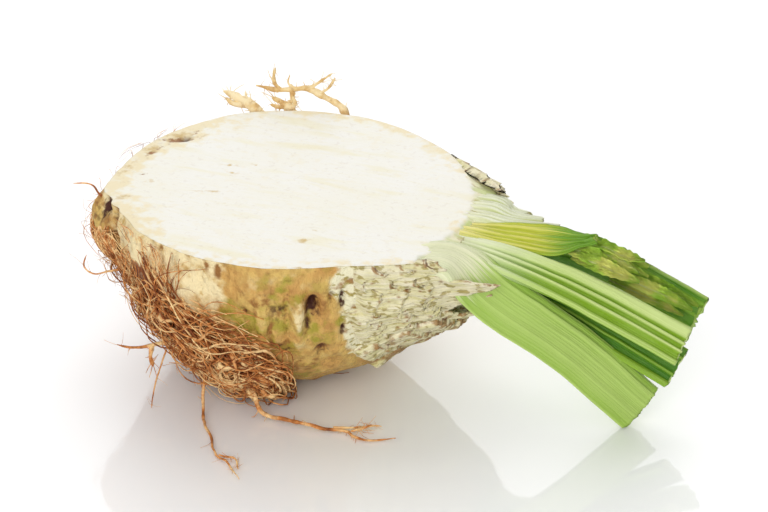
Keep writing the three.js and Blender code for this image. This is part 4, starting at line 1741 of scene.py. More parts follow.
class StrandTree:
    """Geometry Nodes tree that turns lines of points into round tapering strands."""

    def __init__(self) -> None:
        """Builds the tree."""
        tree = bpy.data.node_groups.new("round strands", "GeometryNodeTree")
        tree.is_modifier = True
        face = tree.interface
        face.new_socket("Geometry", in_out="INPUT", socket_type="NodeSocketGeometry")
        self.sides = face.new_socket("Sides", in_out="INPUT", socket_type="NodeSocketInt").identifier
        self.finish = face.new_socket("Finish", in_out="INPUT", socket_type="NodeSocketMaterial").identifier
        face.new_socket("Geometry", in_out="OUTPUT", socket_type="NodeSocketGeometry")
        w = Wiring(tree)
        given, out = w.add("NodeGroupInput"), w.add("NodeGroupOutput")
        curve = w.add("GeometryNodeMeshToCurve", Mesh=given.outputs["Geometry"])
        thick = w.add("GeometryNodeInputNamedAttribute", {"data_type": "FLOAT"}, Name="thick")
        ring = w.add("GeometryNodeCurvePrimitiveCircle", Resolution=given.outputs["Sides"], Radius=1.0)
        tube = w.add(
            "GeometryNodeCurveToMesh",
            Curve=curve.outputs["Curve"],
            Profile_Curve=ring.outputs["Curve"],
            Scale=thick.outputs["Attribute"],
            Fill_Caps=True,
        )
        smooth = w.add("GeometryNodeSetShadeSmooth", Geometry=tube.outputs["Mesh"])
        real = w.add("GeometryNodeRealizeInstances", Geometry=smooth.outputs["Geometry"])
        made = w.add("GeometryNodeSetMaterial", Geometry=real.outputs["Geometry"])
        w.feed(made.inputs["Material"], given.outputs["Finish"])
        w.feed(out.inputs["Geometry"], made.outputs["Geometry"])
        self.tree = tree

    def mesh(self, name: str, bundles: list[Strands], sides: int, material: Material) -> Mesh:
        """Runs the tree on bundles of strands.

        Args:
            name: Name of the mesh.
            bundles: The strands.
            sides: Sides of each strand.
            material: Their material.

        Returns:
            One plain mesh.
        """
        points, edges, radius, shade, first = [], [], [], [], 0
        for bundle in bundles:
            count, length = bundle.points.shape[:2]
            index = first + np.arange(count * length).reshape(count, length)
            edges.append(np.stack([index[:, :-1].ravel(), index[:, 1:].ravel()], axis=1))
            points.append(bundle.points.reshape(-1, 3))
            radius.append(bundle.radius.ravel())
            shade.append(bundle.shade.ravel())
            first += count * length
        lines = bpy.data.meshes.new(name + "_lines")
        lines.vertices.add(first)
        lines.vertices.foreach_set("co", (MM * np.concatenate(points)).astype(np.float32).ravel())
        links = np.concatenate(edges)
        lines.edges.add(len(links))
        lines.edges.foreach_set("vertices", links.astype(np.int32).ravel())
        for key, numbers in (("thick", MM * np.concatenate(radius)), ("shade", np.concatenate(shade))):
            attribute = lines.attributes.new(key, "FLOAT", "POINT")
            attribute.data.foreach_set("value", numbers.astype(np.float32))
        holder = bpy.data.objects.new(name + "_lines", lines)
        bpy.context.scene.collection.objects.link(holder)
        modifier = holder.modifiers.new("strands", "NODES")
        modifier.node_group = self.tree
        modifier[self.sides] = sides
        modifier[self.finish] = material
        graph = bpy.context.evaluated_depsgraph_get()
        made = bpy.data.meshes.new_from_object(
            holder.evaluated_get(graph), preserve_all_data_layers=True, depsgraph=graph
        )
        made.name = name
        bpy.data.objects.remove(holder)
        return made


@dataclass(frozen=True)
class Growth:
    """How one lot of strands of a mat grows.

    Turns and dips say where the strands start, heading is degrees from +turn towards +dip,
    sway how fast they wander, lift how high they stand in mm at middle and tip.
    """

    count: int
    turns: tuple[float, float]
    dips: tuple[float, float]
    heading: float
    scatter: float
    sway: float
    step: float
    lift: float
    tip_lift: float
    radius: tuple[float, float]
    points: int = 16
    curl: float = 0.0
    shade: float = 0.5


@dataclass
class RootletMat:
    """Mat of rootlets that hugs the rind."""

    rind: Rind
    node: str
    growths: tuple[Growth, ...]
    seed: int
    floor: float = 0.7
    sides: int = 4
    root_depth: float = -0.4
    lowest_start: float = 75.0
    lowest: float = 84.0
    end_heading: float = 118.0
    end_scatter: float = 5.0
    end_ragged: float = 3.5
    tip_share: float = 0.35
    tone_spread: float = 0.24
    tone_waver: float = 0.07

    def strands(self, growth: Growth, draw: np.random.Generator) -> Strands:
        """Grows one lot of strands.

        Args:
            growth: How they grow.
            draw: Source of random numbers.

        Returns:
            The strands.
        """
        n, m = growth.count, growth.points
        turn = draw.uniform(*growth.turns, n)
        upper = np.minimum(Matted.upper(turn), self.lowest_start)
        dip = upper + draw.uniform(0, 1, n) ** 0.9 * (growth.dips[1] - upper) + growth.dips[0]
        turn = np.minimum(turn, Matted.right(dip) - np.abs(draw.normal(0, self.end_scatter, n)))
        ragged = draw.normal(0, self.end_ragged, n)
        heading = growth.heading + draw.normal(0, growth.scatter, n)
        spin = draw.normal(0, growth.sway, n) + growth.curl * draw.choice([-1, 1], n)
        phase, height = draw.uniform(0, 6.3, n), draw.uniform(0.15, 1, n) ** 1.3 * growth.lift
        track = np.zeros((n, m, 3))
        far = self.rind.distance(turn, dip) / MM
        for k in range(m):
            share = k / (m - 1)
            rise = height * (0.25 + 0.75 * math.sin(math.pi * min(0.15 + share, 1.0)))
            wave = 0.35 * growth.lift * np.sin(phase + 5.5 * share)
            tip = growth.tip_lift * share**2 * (0.4 + 0.6 * np.sin(phase) ** 2)
            lift = np.maximum(rise + wave, -0.2) + tip if k else np.full(n, self.root_depth)
            track[:, k] = self.rind.point(turn, dip, MM * lift) / MM
            spin += draw.normal(0, growth.sway * 0.6, n) - 0.12 * spin
            heading += spin
            above = Matted.upper(turn) - dip
            turned_back = (above > 1) & (growth.heading < 200)
            heading = np.where(turned_back, heading + (70 - heading) * 0.25, heading)
            past = turn - Matted.right(dip) + ragged
            at_end = (past > -1) & (past < 30)
            heading = np.where(at_end, heading + (self.end_heading - heading) * 0.4, heading)
            angle = np.radians(heading)
            step = growth.step * draw.uniform(0.75, 1.25, n)
            round_z = far * np.cos(np.radians(np.minimum(dip, 80)))
            turn = turn + np.degrees(step * np.cos(angle) / round_z)
            dip = np.clip(dip + np.degrees(step * np.sin(angle) / far), 0.5, self.lowest)
        track[..., 2] = np.maximum(track[..., 2], self.floor + 0.5 * draw.uniform(0, 1, (n, 1)))
        thin = np.linspace(1, self.tip_share, m)[None, :]
        radius = draw.uniform(*growth.radius, (n, 1)) * thin * draw.uniform(0.85, 1.15, (n, m))
        own = draw.normal(growth.shade, self.tone_spread, (n, 1))
        shade = own + draw.normal(0, self.tone_waver, (n, m))
        return Strands(track, radius, np.clip(shade, 0, 1))

    def build(self, tree: StrandTree, material: Material) -> Object:
        """Makes the piece.

        Args:
            tree: Maker of strands.
            material: Their look.

        Returns:
            The piece.
        """
        draw = np.random.default_rng(self.seed)
        bundles = [self.strands(growth, draw) for growth in self.growths]
        name = "woven_" + self.node
        return show(name, tree.mesh(name, bundles, self.sides, material), Slot.ROOTLET, self.node)


@dataclass(frozen=True)
class Reach:
    """One root: the points it runs through, repeated from the part's source, and end radii, in mm."""

    through: tuple[tuple[float, float, float], ...]
    radius: tuple[float, float]


@dataclass
class SingleRoot:
    """A single root with its side roots, knobbly and thinning, with fine hairs."""

    node: str
    reaches: tuple[Reach, ...]
    seed: int
    wander: float = 0.5
    knobs: float = 0.22
    shade: float = 0.55
    hairs: int = 10
    hair_length: float = 4.0
    floor: float = 0.5
    main_points: int = 90
    side_points: int = 44
    sides: int = 12
    hair_points: int = 8
    hair_sides: int = 4
    hair_radius: float = 0.22

    def line(self, reach: Reach, count: int, draw: np.random.Generator) -> Strands:
        """One root of the piece as a strand.

        Args:
            reach: The root.
            count: Points along it.
            draw: Source of random numbers.

        Returns:
            A bundle of one strand.
        """
        points = spline(np.array(reach.through, float), count)
        share = np.linspace(0, 1, count)
        stray = Noise(self.seed, 5.0)
        sway = np.stack([stray(points + 40 * k) for k in range(3)], axis=-1)
        free = np.sin(math.pi * np.clip(share * 1.6, 0, 1) / 2)[:, None] ** 2
        points = points + self.wander * sway * free
        knobbly = 1 + self.knobs * Noise(self.seed + 1, 1.8)(points)
        radius = np.interp(share, [0, 1], reach.radius) * knobbly
        radius *= 1 - 0.55 * ease(0.9, 1.0, share)
        points[:, 2] = np.maximum(points[:, 2], self.floor + radius * 0.5)
        shade = self.shade + 0.3 * Noise(self.seed + 2, 6.0)(points) + draw.normal(0, 0.04, count)
        return Strands(points[None], radius[None], np.clip(shade, 0, 1)[None])

    def hair(self, root: Strands, draw: np.random.Generator) -> Strands:
        """Fine hairs along a root.

        Args:
            root: The root as a strand.
            draw: Source of random numbers.

        Returns:
            The hairs.
        """
        n, m = self.hairs, self.hair_points
        pick = draw.integers(3, root.points.shape[1] - 1, n)
        start, wide = root.points[0, pick], root.radius[0, pick]
        along = unit(root.points[0, pick] - root.points[0, pick - 1])
        aim = unit(draw.normal(0, 1, (n, 3)) + 0.6 * along)
        bend = draw.normal(0, 0.5, (n, 3))
        share = np.linspace(0, 1, m)[None, :, None]
        reach = self.hair_length * draw.uniform(0.4, 1, (n, 1, 1))
        points = start[:, None] + reach * (share * aim[:, None] + share**2 * bend[:, None])
        points[..., 2] = np.maximum(points[..., 2], self.floor)
        radius = np.minimum(self.hair_radius, 0.3 * wide)[:, None] * np.linspace(1, 0.4, m)[None]
        return Strands(points, radius, np.full((n, m), self.shade))

    def build(self, tree: StrandTree, material: Material, slot: Slot) -> Object:
        """Makes the piece.

        Args:
            tree: Maker of strands.
            material: Its look.
            slot: Its material slot.

        Returns:
            The piece.
        """
        draw = np.random.default_rng(self.seed)
        counts = [self.main_points] + [self.side_points] * (len(self.reaches) - 1)
        roots = [self.line(reach, count, draw) for reach, count in zip(self.reaches, counts)]
        thick = tree.mesh(self.node, roots, self.sides, material)
        hairs = [self.hair(root, draw) for root in roots]
        fine = tree.mesh(self.node, hairs, self.hair_sides, material)
        name = "grown_" + self.node
        return show(name, joined(name, [thick, fine]), slot, self.node)


# ---- the part's own pieces ----


def stalks() -> list[tuple[Stalk, str, Slot]]:
    """The four leaf stalks, the heart leaf and the three back sheaths with their finish names.

    Returns:
        Each piece with its finish's name and its slot.
    """
    front = Stalk(
        "front_stalk",
        (
            Station((50, -24, 57.5), (0, -0.1, 1), 8.0, 8, 0.2, 1.2),
            Station((63.2, -20, 59), (0, -0.2, 1), 8.2, 9, 0.2, 1.4),
            Station((77, -15.5, 46.2), (0.3, -0.8, 0.5), 8.6, 5, 0, 1.4),
            Station((99.5, -5.8, 27.2), (0.4, -0.8, 0.5), 8.6, 5, 0.2, 1.4),
            Station((119.8, 2.8, 6), (0.4, -0.8, 0.5), 8.6, 5.4, 0.4, 1.4),
        ),
        (Rib(0.0, 0.9, 0.9), Rib(0.62, 0.12, 1.25), Rib(-0.35, 0.1, 1.15), Rib(0.2, 0.08, 1.1)),
        seed=510, tear=1.1, pore=(-0.25, 1.6, 1.6),
    )
    middle = Stalk(
        "middle_stalk",
        (
            Station((52, -9, 56), (0, 0.1, 1), 5.6, 4, 0.0, 1.0),
            Station((63.2, -8.4, 57), (0, 0.1, 1), 5.6, 6, 0.2, 1.2),
            Station((85, -7.6, 54), (0.2, -0.5, 1), 5.8, 5, 0.8, 1.4),
            Station((107, -2.6, 44.8), (0.4, -0.6, 0.7), 6.4, 5, 1.0, 1.4),
            Station((133, 3, 31.2), (0.4, -0.6, 0.65), 6.8, 5, 1.2, 1.4),
        ),
        (Rib(0.62, 0.3, 2.4), Rib(0.1, 0.1, 1.9), Rib(-0.32, 0.1, 2.0), Rib(-0.86, 0.12, 1.2)),
        seed=520, tear=0.8,
    )
    heart = Stalk(
        "heart_leaf",
        (
            Station((53, 0.6, 58.7), (0, 0.1, 1), 4.2, 2.5, 0.2, 0.8),
            Station((63.3, 0.2, 59.5), (0, 0, 1), 4.8, 3.2, 0.2, 0.8),
            Station((76, 0.6, 60), (0, -0.4, 1), 5.4, 3.0, 0.6, 0.8),
            Station((90, 2.6, 60), (0, -0.6, 1), 5.2, 2.4, 1.0, 0.8),
            Station((97, 5, 60.2), (0, -0.4, 1), 3.2, 1.4, 0.6, 0.6),
            Station((102, 7.2, 60.7), (0, -0.3, 1), 1.3, 0.7, 0.1, 0.4),
        ),
        (
            Rib(0.66, 0.1, 0.4),
            Rib(0.3, 0.06, 0.3),
            Rib(-0.05, 0.1, 0.45),
            Rib(-0.4, 0.06, 0.3),
            Rib(-0.7, 0.1, 0.5),
        ),
        seed=530, ruffle=1.1, tear=2.4,
    )
    lower = Stalk(
        "lower_stalk",
        (
            Station((56, -4, 44), (0, -0.3, 1), 6.5, 5.5, 0.4, 1.2),
            Station((64, -3, 44), (0, -0.3, 1), 6.5, 5.5, 0.4, 1.2),
            Station((86, 1, 42), (0.4, -0.8, 0.6), 6.4, 4.5, 1.2, 1.4),
            Station((108, 5.5, 31), (0.4, -0.8, 0.6), 7.2, 4.5, 1.6, 1.4),
            Station((129, 9, 19.5), (0.4, -0.8, 0.6), 7.2, 4.5, 1.6, 1.4),
        ),
        (Rib(-0.82, 0.14, 1.3), Rib(-0.3, 0.08, 0.9), Rib(0.5, 0.1, 0.7)),
        seed=540, tear=0.9,
    )
    back = Stalk(
        "back_stalk",
        (
            Station((56, 10, 49), (0, -0.2, 1), 7.5, 6, 0.5, 1.2),
            Station((64, 11, 49.5), (0, -0.2, 1), 7.5, 6, 0.5, 1.2),
            Station((87, 14, 49), (0.2, -0.4, 1), 8, 6, 3, 1.4),
            Station((110, 16, 43), (0.4, -0.6, 0.7), 8.4, 6.5, 4.5, 1.4),
            Station((132, 16, 34.5), (0.4, -0.6, 0.65), 8.4, 6.5, 4.5, 1.4),
        ),
        (Rib(0.7, 0.1, 0.7), Rib(0.25, 0.08, 0.6), Rib(-0.3, 0.08, 0.6), Rib(-0.75, 0.1, 0.7)),
        seed=550, ruffle=0.5, tear=2.0,
    )
    fan_ribs = (Rib(0.6, 0.2, 0.9), Rib(0.0, 0.18, 1.0), Rib(-0.6, 0.2, 0.9))
    sheaths = (
        (
            Station((54, 8.5, 59), (0, 0.1, 1), 3.4, 3.5, 0, 0.8),
            Station((63.3, 8.5, 60), (0, 0.1, 1), 3.9, 4.5, 0, 0.8),
            Station((73, 9, 59.2), (0, 0.1, 1), 3.8, 4, 0.4, 0.8),
            Station((87, 11, 59.6), (0, 0.1, 1), 1.8, 2, 0, 0.6),
        ),
        (
            Station((53, 15.5, 58.6), (0, 0.1, 1), 3.4, 4, 0, 0.8),
            Station((63.3, 15.5, 59.8), (0, 0.2, 1), 4.0, 5, 0, 0.8),
            Station((71, 15.5, 58.3), (0, 0.2, 1), 3.8, 4.5, 0.4, 0.8),
            Station((80, 15.5, 58.6), (0, 0.2, 1), 2.2, 3, 0, 0.6),
        ),
        (
            Station((50, 23, 58), (0, 0.2, 1), 3.6, 5, 0, 0.8),
            Station((63.3, 22.5, 59), (0, 0.3, 1), 4.2, 6, 0, 0.8),
            Station((68, 22, 56.5), (0, 0.3, 1), 3.8, 5.5, 0.4, 0.8),
            Station((73.5, 21, 56.5), (0, 0.3, 1), 2.2, 3, 0, 0.6),
        ),
    )
    fans = [
        Stalk(f"back_sheath_{k}", rows, fan_ribs, 550 + 10 * k, ruffle=0.4, tear=1.6 if k == 1 else 2.0)
        for k, rows in enumerate(sheaths, start=1)
    ]
    return [
        (front, "front", Slot.PALE_STALK),
        (middle, "middle", Slot.PALE_STALK),
        (heart, "heart", Slot.YOUNG_LEAF),
        (lower, "lower", Slot.DARK_STALK),
        (back, "back", Slot.DARK_STALK),
        *((sheath, "sheath", Slot.BASE) for sheath in fans),
    ]


def stalk_finishes(effects: Effects) -> dict[str, StalkFinish]:
    """Finish of each kind of stalk by name.

    Args:
        effects: Node groups they share.

    Returns:
        Finishes by name.
    """
    return {
        "front": StalkFinish(effects),
        "middle": StalkFinish(
            effects,
            name="middle stalk", ridge=tone(208, 224, 144), groove=tone(134, 174, 22),
            foot=tone(236, 238, 206), back=tone(120, 162, 26), foot_end=0.5, foot_start=0.06,
            lines=14.0,
        ),
        "heart": StalkFinish(
            effects,
            name="heart leaf", ridge=tone(228, 220, 112), groove=tone(188, 192, 48),
            foot=tone(244, 232, 158), back=tone(190, 200, 60), lip=tone(164, 190, 44),
            cut=tone(120, 166, 36), tip_start=0.6, foot_end=0.4, foot_start=0.05, lines=12.0,
        ),
        "lower": StalkFinish(
            effects,
            name="lower stalk", ridge=tone(150, 186, 56), groove=tone(70, 128, 8),
            foot=tone(120, 160, 50), back=tone(80, 128, 14), lip=tone(160, 194, 62), foot_end=0.1,
            foot_start=0.02,
        ),
        "back": StalkFinish(
            effects,
            name="back stalk", ridge=tone(128, 176, 26), groove=tone(88, 146, 4),
            foot=tone(176, 200, 110), back=tone(140, 180, 60), lip=tone(190, 216, 112),
            cut=tone(176, 200, 104), foot_end=0.25,
        ),
        "sheath": StalkFinish(
            effects,
            name="back sheath", ridge=tone(240, 242, 218), groove=tone(204, 212, 144),
            foot=tone(238, 238, 206), back=tone(210, 216, 156), lip=tone(206, 212, 160),
            cut=tone(160, 150, 80), foot_end=0.5, foot_start=0.1, lines=12.0,
        ),
    }


def young_leaves() -> list[YoungLeaf]:
    """The crumpled leaflets between the heart leaf and the back stalk, and the spiky blade at its end.

    Returns:
        The three pieces.
    """
    first = YoungLeaf(
        "young_leaf_1",
        (
            Leaflet(
                ((-4, 4, 9), (6, 2, 9), (15, 1.6, 6.6), (22, 2.6, 3.4)),
                (0.1, -0.6, 1), 3.0, 0.5, 1.2, 0.0, 11,
            ),
            Leaflet(
                ((0, 5, 8.6), (9, 4.4, 9.6), (18, 4, 7.6), (26, 4.4, 4.4)),
                (0.2, -0.5, 1), 2.8, -0.4, 1.1, 0.3, 9,
            ),
            Leaflet(
                ((5, 1.6, 7), (13, 0, 6.8), (20, 0.6, 4.8), (27, 2, 2)),
                (0.2, -0.8, 0.8), 2.4, 0.6, 0.9, 0.0, 8,
            ),
            Leaflet(
                ((10, 6, 9), (15, 5.4, 10), (21, 6, 8), (27, 7, 7)),
                (0.3, -0.5, 1), 1.9, 0.8, 0.9, 0.2, 7,
            ),
        ),
        seed=610,
    )
    second = YoungLeaf(
        "young_leaf_2",
        (
            Leaflet(
                ((-3, 0, 5.4), (6, -1.6, 5.4), (16, -0.6, 3.4), (25, 0.4, -0.6)),
                (0, -0.5, 1), 3.0, 0.4, 1.2, 0.3, 10,
            ),
            Leaflet(
                ((1, 2, 5.4), (10, 1, 6.2), (20, 1.6, 3.8), (29, 2, 0)),
                (0.1, -0.5, 1), 2.6, -0.5, 1.1, 0.5, 9,
            ),
            Leaflet(
                ((8, -2, 3.4), (15, -3, 3.6), (22, -2, 1.4), (30, -1, -2)),
                (0.2, -0.8, 0.8), 2.0, 0.7, 0.9, 0.1, 9,
            ),
        ),
        seed=630,
    )
    blade = YoungLeaf(
        "leaf_blade",
        (
            Leaflet(
                ((-6, 1, 10), (5, 0, 7.6), (13, 0, 5.4), (20, 0, 2.6)),
                (0.4, -0.7, 0.65), 2.2, 0.5, 0.6, 0.2, 13,
            ),
            Leaflet(
                ((-4, 4, 10), (7, 3.4, 7.4), (14, 3, 5.4), (21, 3, 3)),
                (0.4, -0.6, 0.65), 1.9, 0.7, 0.7, 0.6, 13,
            ),
            Leaflet(
                ((-8, 0, 8), (2, -0.6, 5.4), (10, -0.4, 2.8), (17, 0.6, 0)),
                (0.4, -0.7, 0.65), 1.6, 0.8, 0.5, 0.0, 9,
            ),
        ),
        seed=650,
    )
    return [first, second, blade]


def mats(rind: Rind) -> list[RootletMat]:
    """The four mats of rootlets.

    Args:
        rind: The rind they hug.

    Returns:
        The four pieces.
    """
    thick, thin = (0.28, 0.5), (0.1, 0.2)
    front = (
        Growth(520, (238, 292), (0, 66), 38, 34, 7, 2.5, 4.5, 1.5, thick),
        Growth(300, (240, 292), (4, 70), 60, 70, 13, 2.2, 6.5, 3.0, (0.2, 0.36)),
        Growth(130, (244, 291), (8, 62), 120, 90, 6, 1.9, 7.5, 1.0, (0.18, 0.3), 18, 24.0),
        Growth(160, (238, 262), (30, 76), 85, 45, 12, 2.6, 7.0, 8.0, (0.14, 0.3)),
        Growth(50, (232, 252), (0, 20), 262, 14, 4, 1.7, 0.7, 2.4, (0.12, 0.24), 12, 0.0, 0.6),
        Growth(46, (240, 284), (4, 55), 60, 90, 10, 1.3, 5.5, 1.0, (0.6, 1.0), 10, 10.0, 0.95),
        Growth(120, (226, 262), (40, 74), 80, 60, 12, 1.5, 2.0, 7.0, (0.2, 0.4), 8),
    )
    left = (
        Growth(260, (196, 240), (2, 62), 55, 40, 8, 2.3, 3.2, 1.0, (0.2, 0.44)),
        Growth(160, (192, 240), (4, 62), 70, 80, 14, 2.1, 4.4, 4.5, thin),
        Growth(60, (206, 240), (8, 56), 100, 90, 6, 1.7, 4.5, 0.5, (0.16, 0.26), 16, 26.0),
        Growth(30, (204, 238), (4, 50), 60, 90, 10, 1.1, 3.5, 0.5, (0.6, 1.0), 9, 12.0, 0.95),
        Growth(150, (190, 216), (-14, 26), 80, 34, 12, 1.7, 1.3, 1.2, (0.14, 0.3), 12, 0.0, 0.7),
        Growth(90, (184, 236), (-12, 50), 170, 110, 14, 1.8, 2.5, 6.0, (0.07, 0.13), 12),
    )
    pole = (
        Growth(200, (150, 196), (2, 58), 60, 60, 9, 2.2, 2.6, 1.0, (0.18, 0.36)),
        Growth(120, (148, 198), (0, 58), 80, 90, 14, 2.0, 3.4, 4.0, thin),
        Growth(60, (150, 196), (-12, 30), 250, 90, 13, 1.7, 2.0, 5.0, (0.07, 0.13), 12),
    )
    back = (
        Growth(200, (99, 150), (2, 58), 70, 60, 9, 2.2, 2.6, 1.0, (0.18, 0.36)),
        Growth(120, (98, 151), (0, 58), 85, 90, 14, 2.0, 3.4, 3.0, thin),
    )
    return [
        RootletMat(rind, "rootlet_mat_front", front, 710),
        RootletMat(rind, "rootlet_mat_left", left, 720),
        RootletMat(rind, "rootlet_mat_root_pole", pole, 730),
        RootletMat(rind, "rootlet_mat_back", back, 740),
    ]


def single_roots() -> list[tuple[SingleRoot, Slot]]:
    """The loose rootlets on and near the table, and the pale roots at the back rim.

    Returns:
        Each piece with its slot.
    """
    floor_front = SingleRoot(
        "floor_rootlet_front",
        (
            Reach(
                ((-14.5, -35, 15), (-12.6, -40, 9), (-10.8, -46, 2), (-4, -56, 1.2), (3.7, -66, 1.1),
                 (17.7, -78.6, 1)),
                (0.6, 0.3),
            ),
            Reach(((5.5, -68, 1.1), (12, -69, 1.1), (15, -73, 1)), (0.35, 0.2)),
        ),
        seed=810, wander=1.0, hairs=16,
    )
    floor_right = SingleRoot(
        "floor_rootlet_right",
        (
            Reach(
                ((0, -36.5, 11), (4, -39, 8), (8.6, -41, 2.1), (24, -41, 1.6), (35.5, -39, 1.5),
                 (43, -41, 1.3), (52, -36.5, 1.2)),
                (0.85, 0.3),
            ),
            Reach(((32, -39.4, 1.5), (40, -35, 1.3), (46, -33, 1.1)), (0.45, 0.25)),
            Reach(((38, -39, 1.5), (42, -37, 2.7), (44.5, -38, 5)), (0.4, 0.2)),
        ),
        seed=820, wander=1.0, hairs=14,
    )
    forked = SingleRoot(
        "left_rootlet_forked",
        (
            Reach(
                ((-25.5, -34.5, 18.5), (-28, -37, 18), (-33, -40, 17), (-37, -41.5, 16.8),
                 (-42, -43, 17.5)),
                (0.8, 0.3),
            ),
            Reach(((-31.5, -39, 17.2), (-31, -41, 14), (-30, -42, 11)), (0.8, 0.6)),
        ),
        seed=830, hairs=8,
    )
    hanging = SingleRoot(
        "left_rootlet_hanging",
        (
            Reach(
                ((-27.4, -37, 15.5), (-27.4, -40, 13), (-27.5, -45, 8), (-27.3, -48, 4),
                 (-27.2, -49.5, 0.8)),
                (0.3, 0.18),
            ),
        ),
        seed=840, hairs=6,
    )
    curl = SingleRoot(
        "left_rootlet_curl",
        (
            Reach(
                ((-45.5, -32.5, 38.7), (-48, -34, 38.4), (-52, -36.5, 37.5), (-55.5, -37, 39.5),
                 (-56, -35, 43)),
                (0.4, 0.2),
            ),
        ),
        seed=850, hairs=8, hair_length=5,
    )
    tip = SingleRoot(
        "left_rootlet_tip",
        (
            Reach(
                ((-53.5, -23.5, 58), (-56, -24.5, 60), (-58, -24.5, 62), (-61, -25, 62.8),
                 (-64.5, -26, 63)),
                (0.4, 0.2),
            ),
        ),
        seed=860, hairs=6,
    )
    stub = SingleRoot(
        "back_root_stub",
        (
            Reach(((-33, 51, 56), (-37, 52, 60.5), (-42, 52.5, 62.5), (-48, 53, 64)), (2.2, 1.0)),
            Reach(((-39.5, 52, 61), (-43.5, 51.3, 60.7), (-46.5, 51.5, 62.5)), (1.0, 0.5)),
            Reach(((-36.5, 52, 60), (-39, 52.3, 63), (-39.5, 52, 66)), (0.8, 0.3)),
        ),
        seed=870, knobs=0.5, shade=0.7, hairs=12, hair_length=4,
    )
    branched = SingleRoot(
        "back_root_branched",
        (
            Reach(
                ((-7, 63, 57), (-10, 63, 61), (-15.5, 62, 64), (-22, 61, 66.3), (-32, 58, 65.5),
                 (-38, 57, 66)),
                (1.5, 0.6),
            ),
            Reach(((-30, 58.6, 65.6), (-32, 58.4, 68), (-31.6, 58.3, 73)), (0.8, 0.4)),
            Reach(((-21, 61, 66), (-17, 61.5, 69), (-12.4, 62, 73.3)), (0.7, 0.35)),
            Reach(((-18, 61.5, 64.7), (-14, 61.5, 67), (-11, 61.7, 71.5)), (0.6, 0.35)),
            Reach(((-26, 59.7, 66), (-26, 59.5, 62), (-29, 59, 59)), (0.9, 0.5)),
            Reach(((-24, 60, 66), (-27, 59.5, 68), (-26.5, 59.7, 71)), (0.5, 0.3)),
        ),
        seed=880, knobs=0.4, shade=0.66, hairs=12, hair_length=3,
    )
    bulb = SingleRoot(
        "back_root_bulb",
        (
            Reach(((-24, 57, 56), (-27, 57.5, 60.5), (-32, 56.5, 63)), (1.9, 0.9)),
            Reach(((-26, 57, 59), (-24, 57, 62), (-24.5, 56.5, 65)), (1.1, 0.5)),
            Reach(((-27, 57.5, 60), (-30, 57.5, 59.5), (-33, 57, 60)), (0.8, 0.4)),
        ),
        seed=890, knobs=0.5, shade=0.7, hairs=14, hair_length=4,
    )
    loose = [(root, Slot.ROOTLET) for root in (floor_front, floor_right, forked, hanging, curl, tip)]
    return loose + [(root, Slot.PALE_ROOT) for root in (stub, branched, bulb)]


# ---- table, light and camera ----


@dataclass(frozen=True)
class Lamp:
    """Square soft light: its direction from the root in degrees, distance and size in m, power in W."""

    name: str
    azimuth: float
    elevation: float
    far: float
    size: float
    power: float


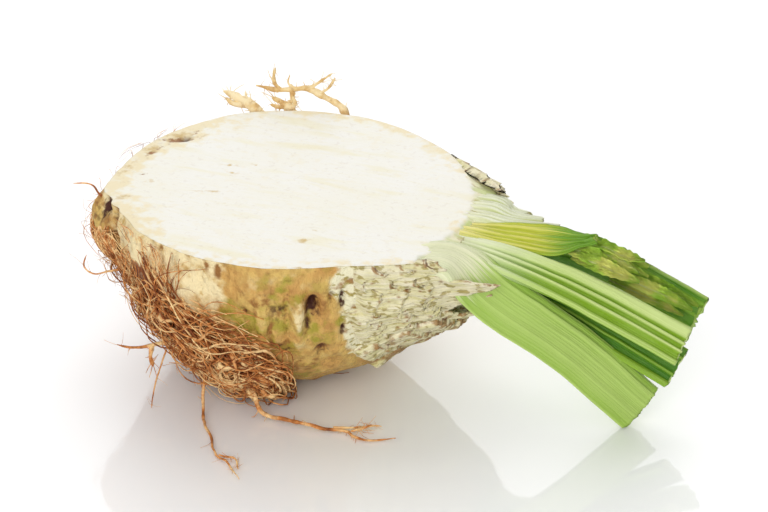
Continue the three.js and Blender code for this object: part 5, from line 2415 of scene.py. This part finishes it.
@dataclass
class Studio:
    """White table, soft overhead light and the camera."""

    azimuth: float = 23.0
    elevation: float = 28.0
    distance: float = 1.23
    lens: float = 180.0
    aim: tuple[float, float, float] = (-103.0, -62.2, -31.2)
    world_strength: float = 0.57
    table_size: float = 6.0
    sensor_width: float = 36.0
    lamps: tuple[Lamp, ...] = (
        Lamp("overhead", 200, 68, 1.3, 0.8, 3.0),
        Lamp("front fill", 10, 24, 1.5, 1.0, 12.0),
        Lamp("backdrop", 203, 24, 1.7, 2.0, 14.0),
    )

    def direction(self, azimuth: float, elevation: float) -> Vector:
        """Direction from the object to a place round it."""
        a, e = math.radians(azimuth), math.radians(elevation)
        return Vector((math.sin(a) * math.cos(e), -math.cos(a) * math.cos(e), math.sin(e)))

    def target(self) -> Vector:
        """Point that the camera looks at, placed from the model's highest corner."""
        return Vector(CAD_BOX[1]) + MM * Vector(self.aim)

    def look(self, name: str, data: bpy.types.ID, azimuth: float, elevation: float, far: float) -> Object:
        """Puts a lamp or the camera round the root, so that it looks at the target.

        Args:
            name: Its name.
            data: Its lamp or camera data.
            azimuth: Degrees from the front, to the right.
            elevation: Degrees above the table.
            far: Distance from the target, in metres.

        Returns:
            The object.
        """
        made = bpy.data.objects.new(name, data)
        back = self.direction(azimuth, elevation)
        made.location = self.target() + back * far
        made.rotation_mode = "QUATERNION"
        made.rotation_quaternion = (-back).to_track_quat("-Z", "Y")
        bpy.context.scene.collection.objects.link(made)
        return made

    def build(self, finish: TableFinish) -> None:
        """Makes the table, lights, world and camera.

        Args:
            finish: Look of the table.
        """
        half = self.table_size / 2
        corners = np.array([[-half, -half, 0], [half, -half, 0], [half, half, 0], [-half, half, 0]])
        mesh = Shell(corners, [np.array([[0, 1, 2, 3]])]).mesh("table", finish.material())
        table = bpy.data.objects.new("table", mesh)
        bpy.context.scene.collection.objects.link(table)
        world = bpy.data.worlds.new("studio")
        world.use_nodes = True
        background = world.node_tree.nodes["Background"]
        background.inputs["Color"].default_value = (1.0, 1.0, 1.0, 1.0)
        background.inputs["Strength"].default_value = self.world_strength
        bpy.context.scene.world = world
        for lamp in self.lamps:
            light = bpy.data.lights.new(lamp.name, "AREA")
            light.shape, light.size, light.energy = "SQUARE", lamp.size, lamp.power
            self.look(lamp.name, light, lamp.azimuth, lamp.elevation, lamp.far)
        bpy.context.scene.view_settings.view_transform = "Standard"
        data = bpy.data.cameras.new("camera")
        data.lens, data.sensor_width = self.lens, self.sensor_width
        camera = self.look("camera", data, self.azimuth, self.elevation, self.distance)
        bpy.context.scene.camera = camera


def main() -> None:
    """Builds every piece and the studio."""
    logging.basicConfig(level=logging.INFO, format="%(message)s")
    effects = Effects(mottle_group(), fibre_group(), speck_group())
    rind = Rind()
    RootBody(rind).build(RootFinish(effects))
    CrownScales(rind).build(BaseFinish(effects))
    finishes = {key: finish.material() for key, finish in stalk_finishes(effects).items()}
    for stalk, kind, slot in stalks():
        stalk.build("cut_" + stalk.node, finishes[kind], slot)
    leaf = LeafFinish(effects).material()
    for young in young_leaves():
        young.build("crumpled_" + young.node, leaf)
    tree = StrandTree()
    brown = StrandFinish(effects).material()
    pale = StrandFinish(
        effects,
        name="pale root", dark=tone(190, 140, 78), middle=tone(232, 200, 140),
        light=tone(248, 230, 186), lines=420.0,
    ).material()
    for mat in mats(rind):
        mat.build(tree, brown)
    for root, slot in single_roots():
        root.build(tree, pale if slot is Slot.PALE_ROOT else brown, slot)
    Studio().build(TableFinish(effects))
    bpy.context.view_layer.update()


if __name__ == "__main__":
    main()
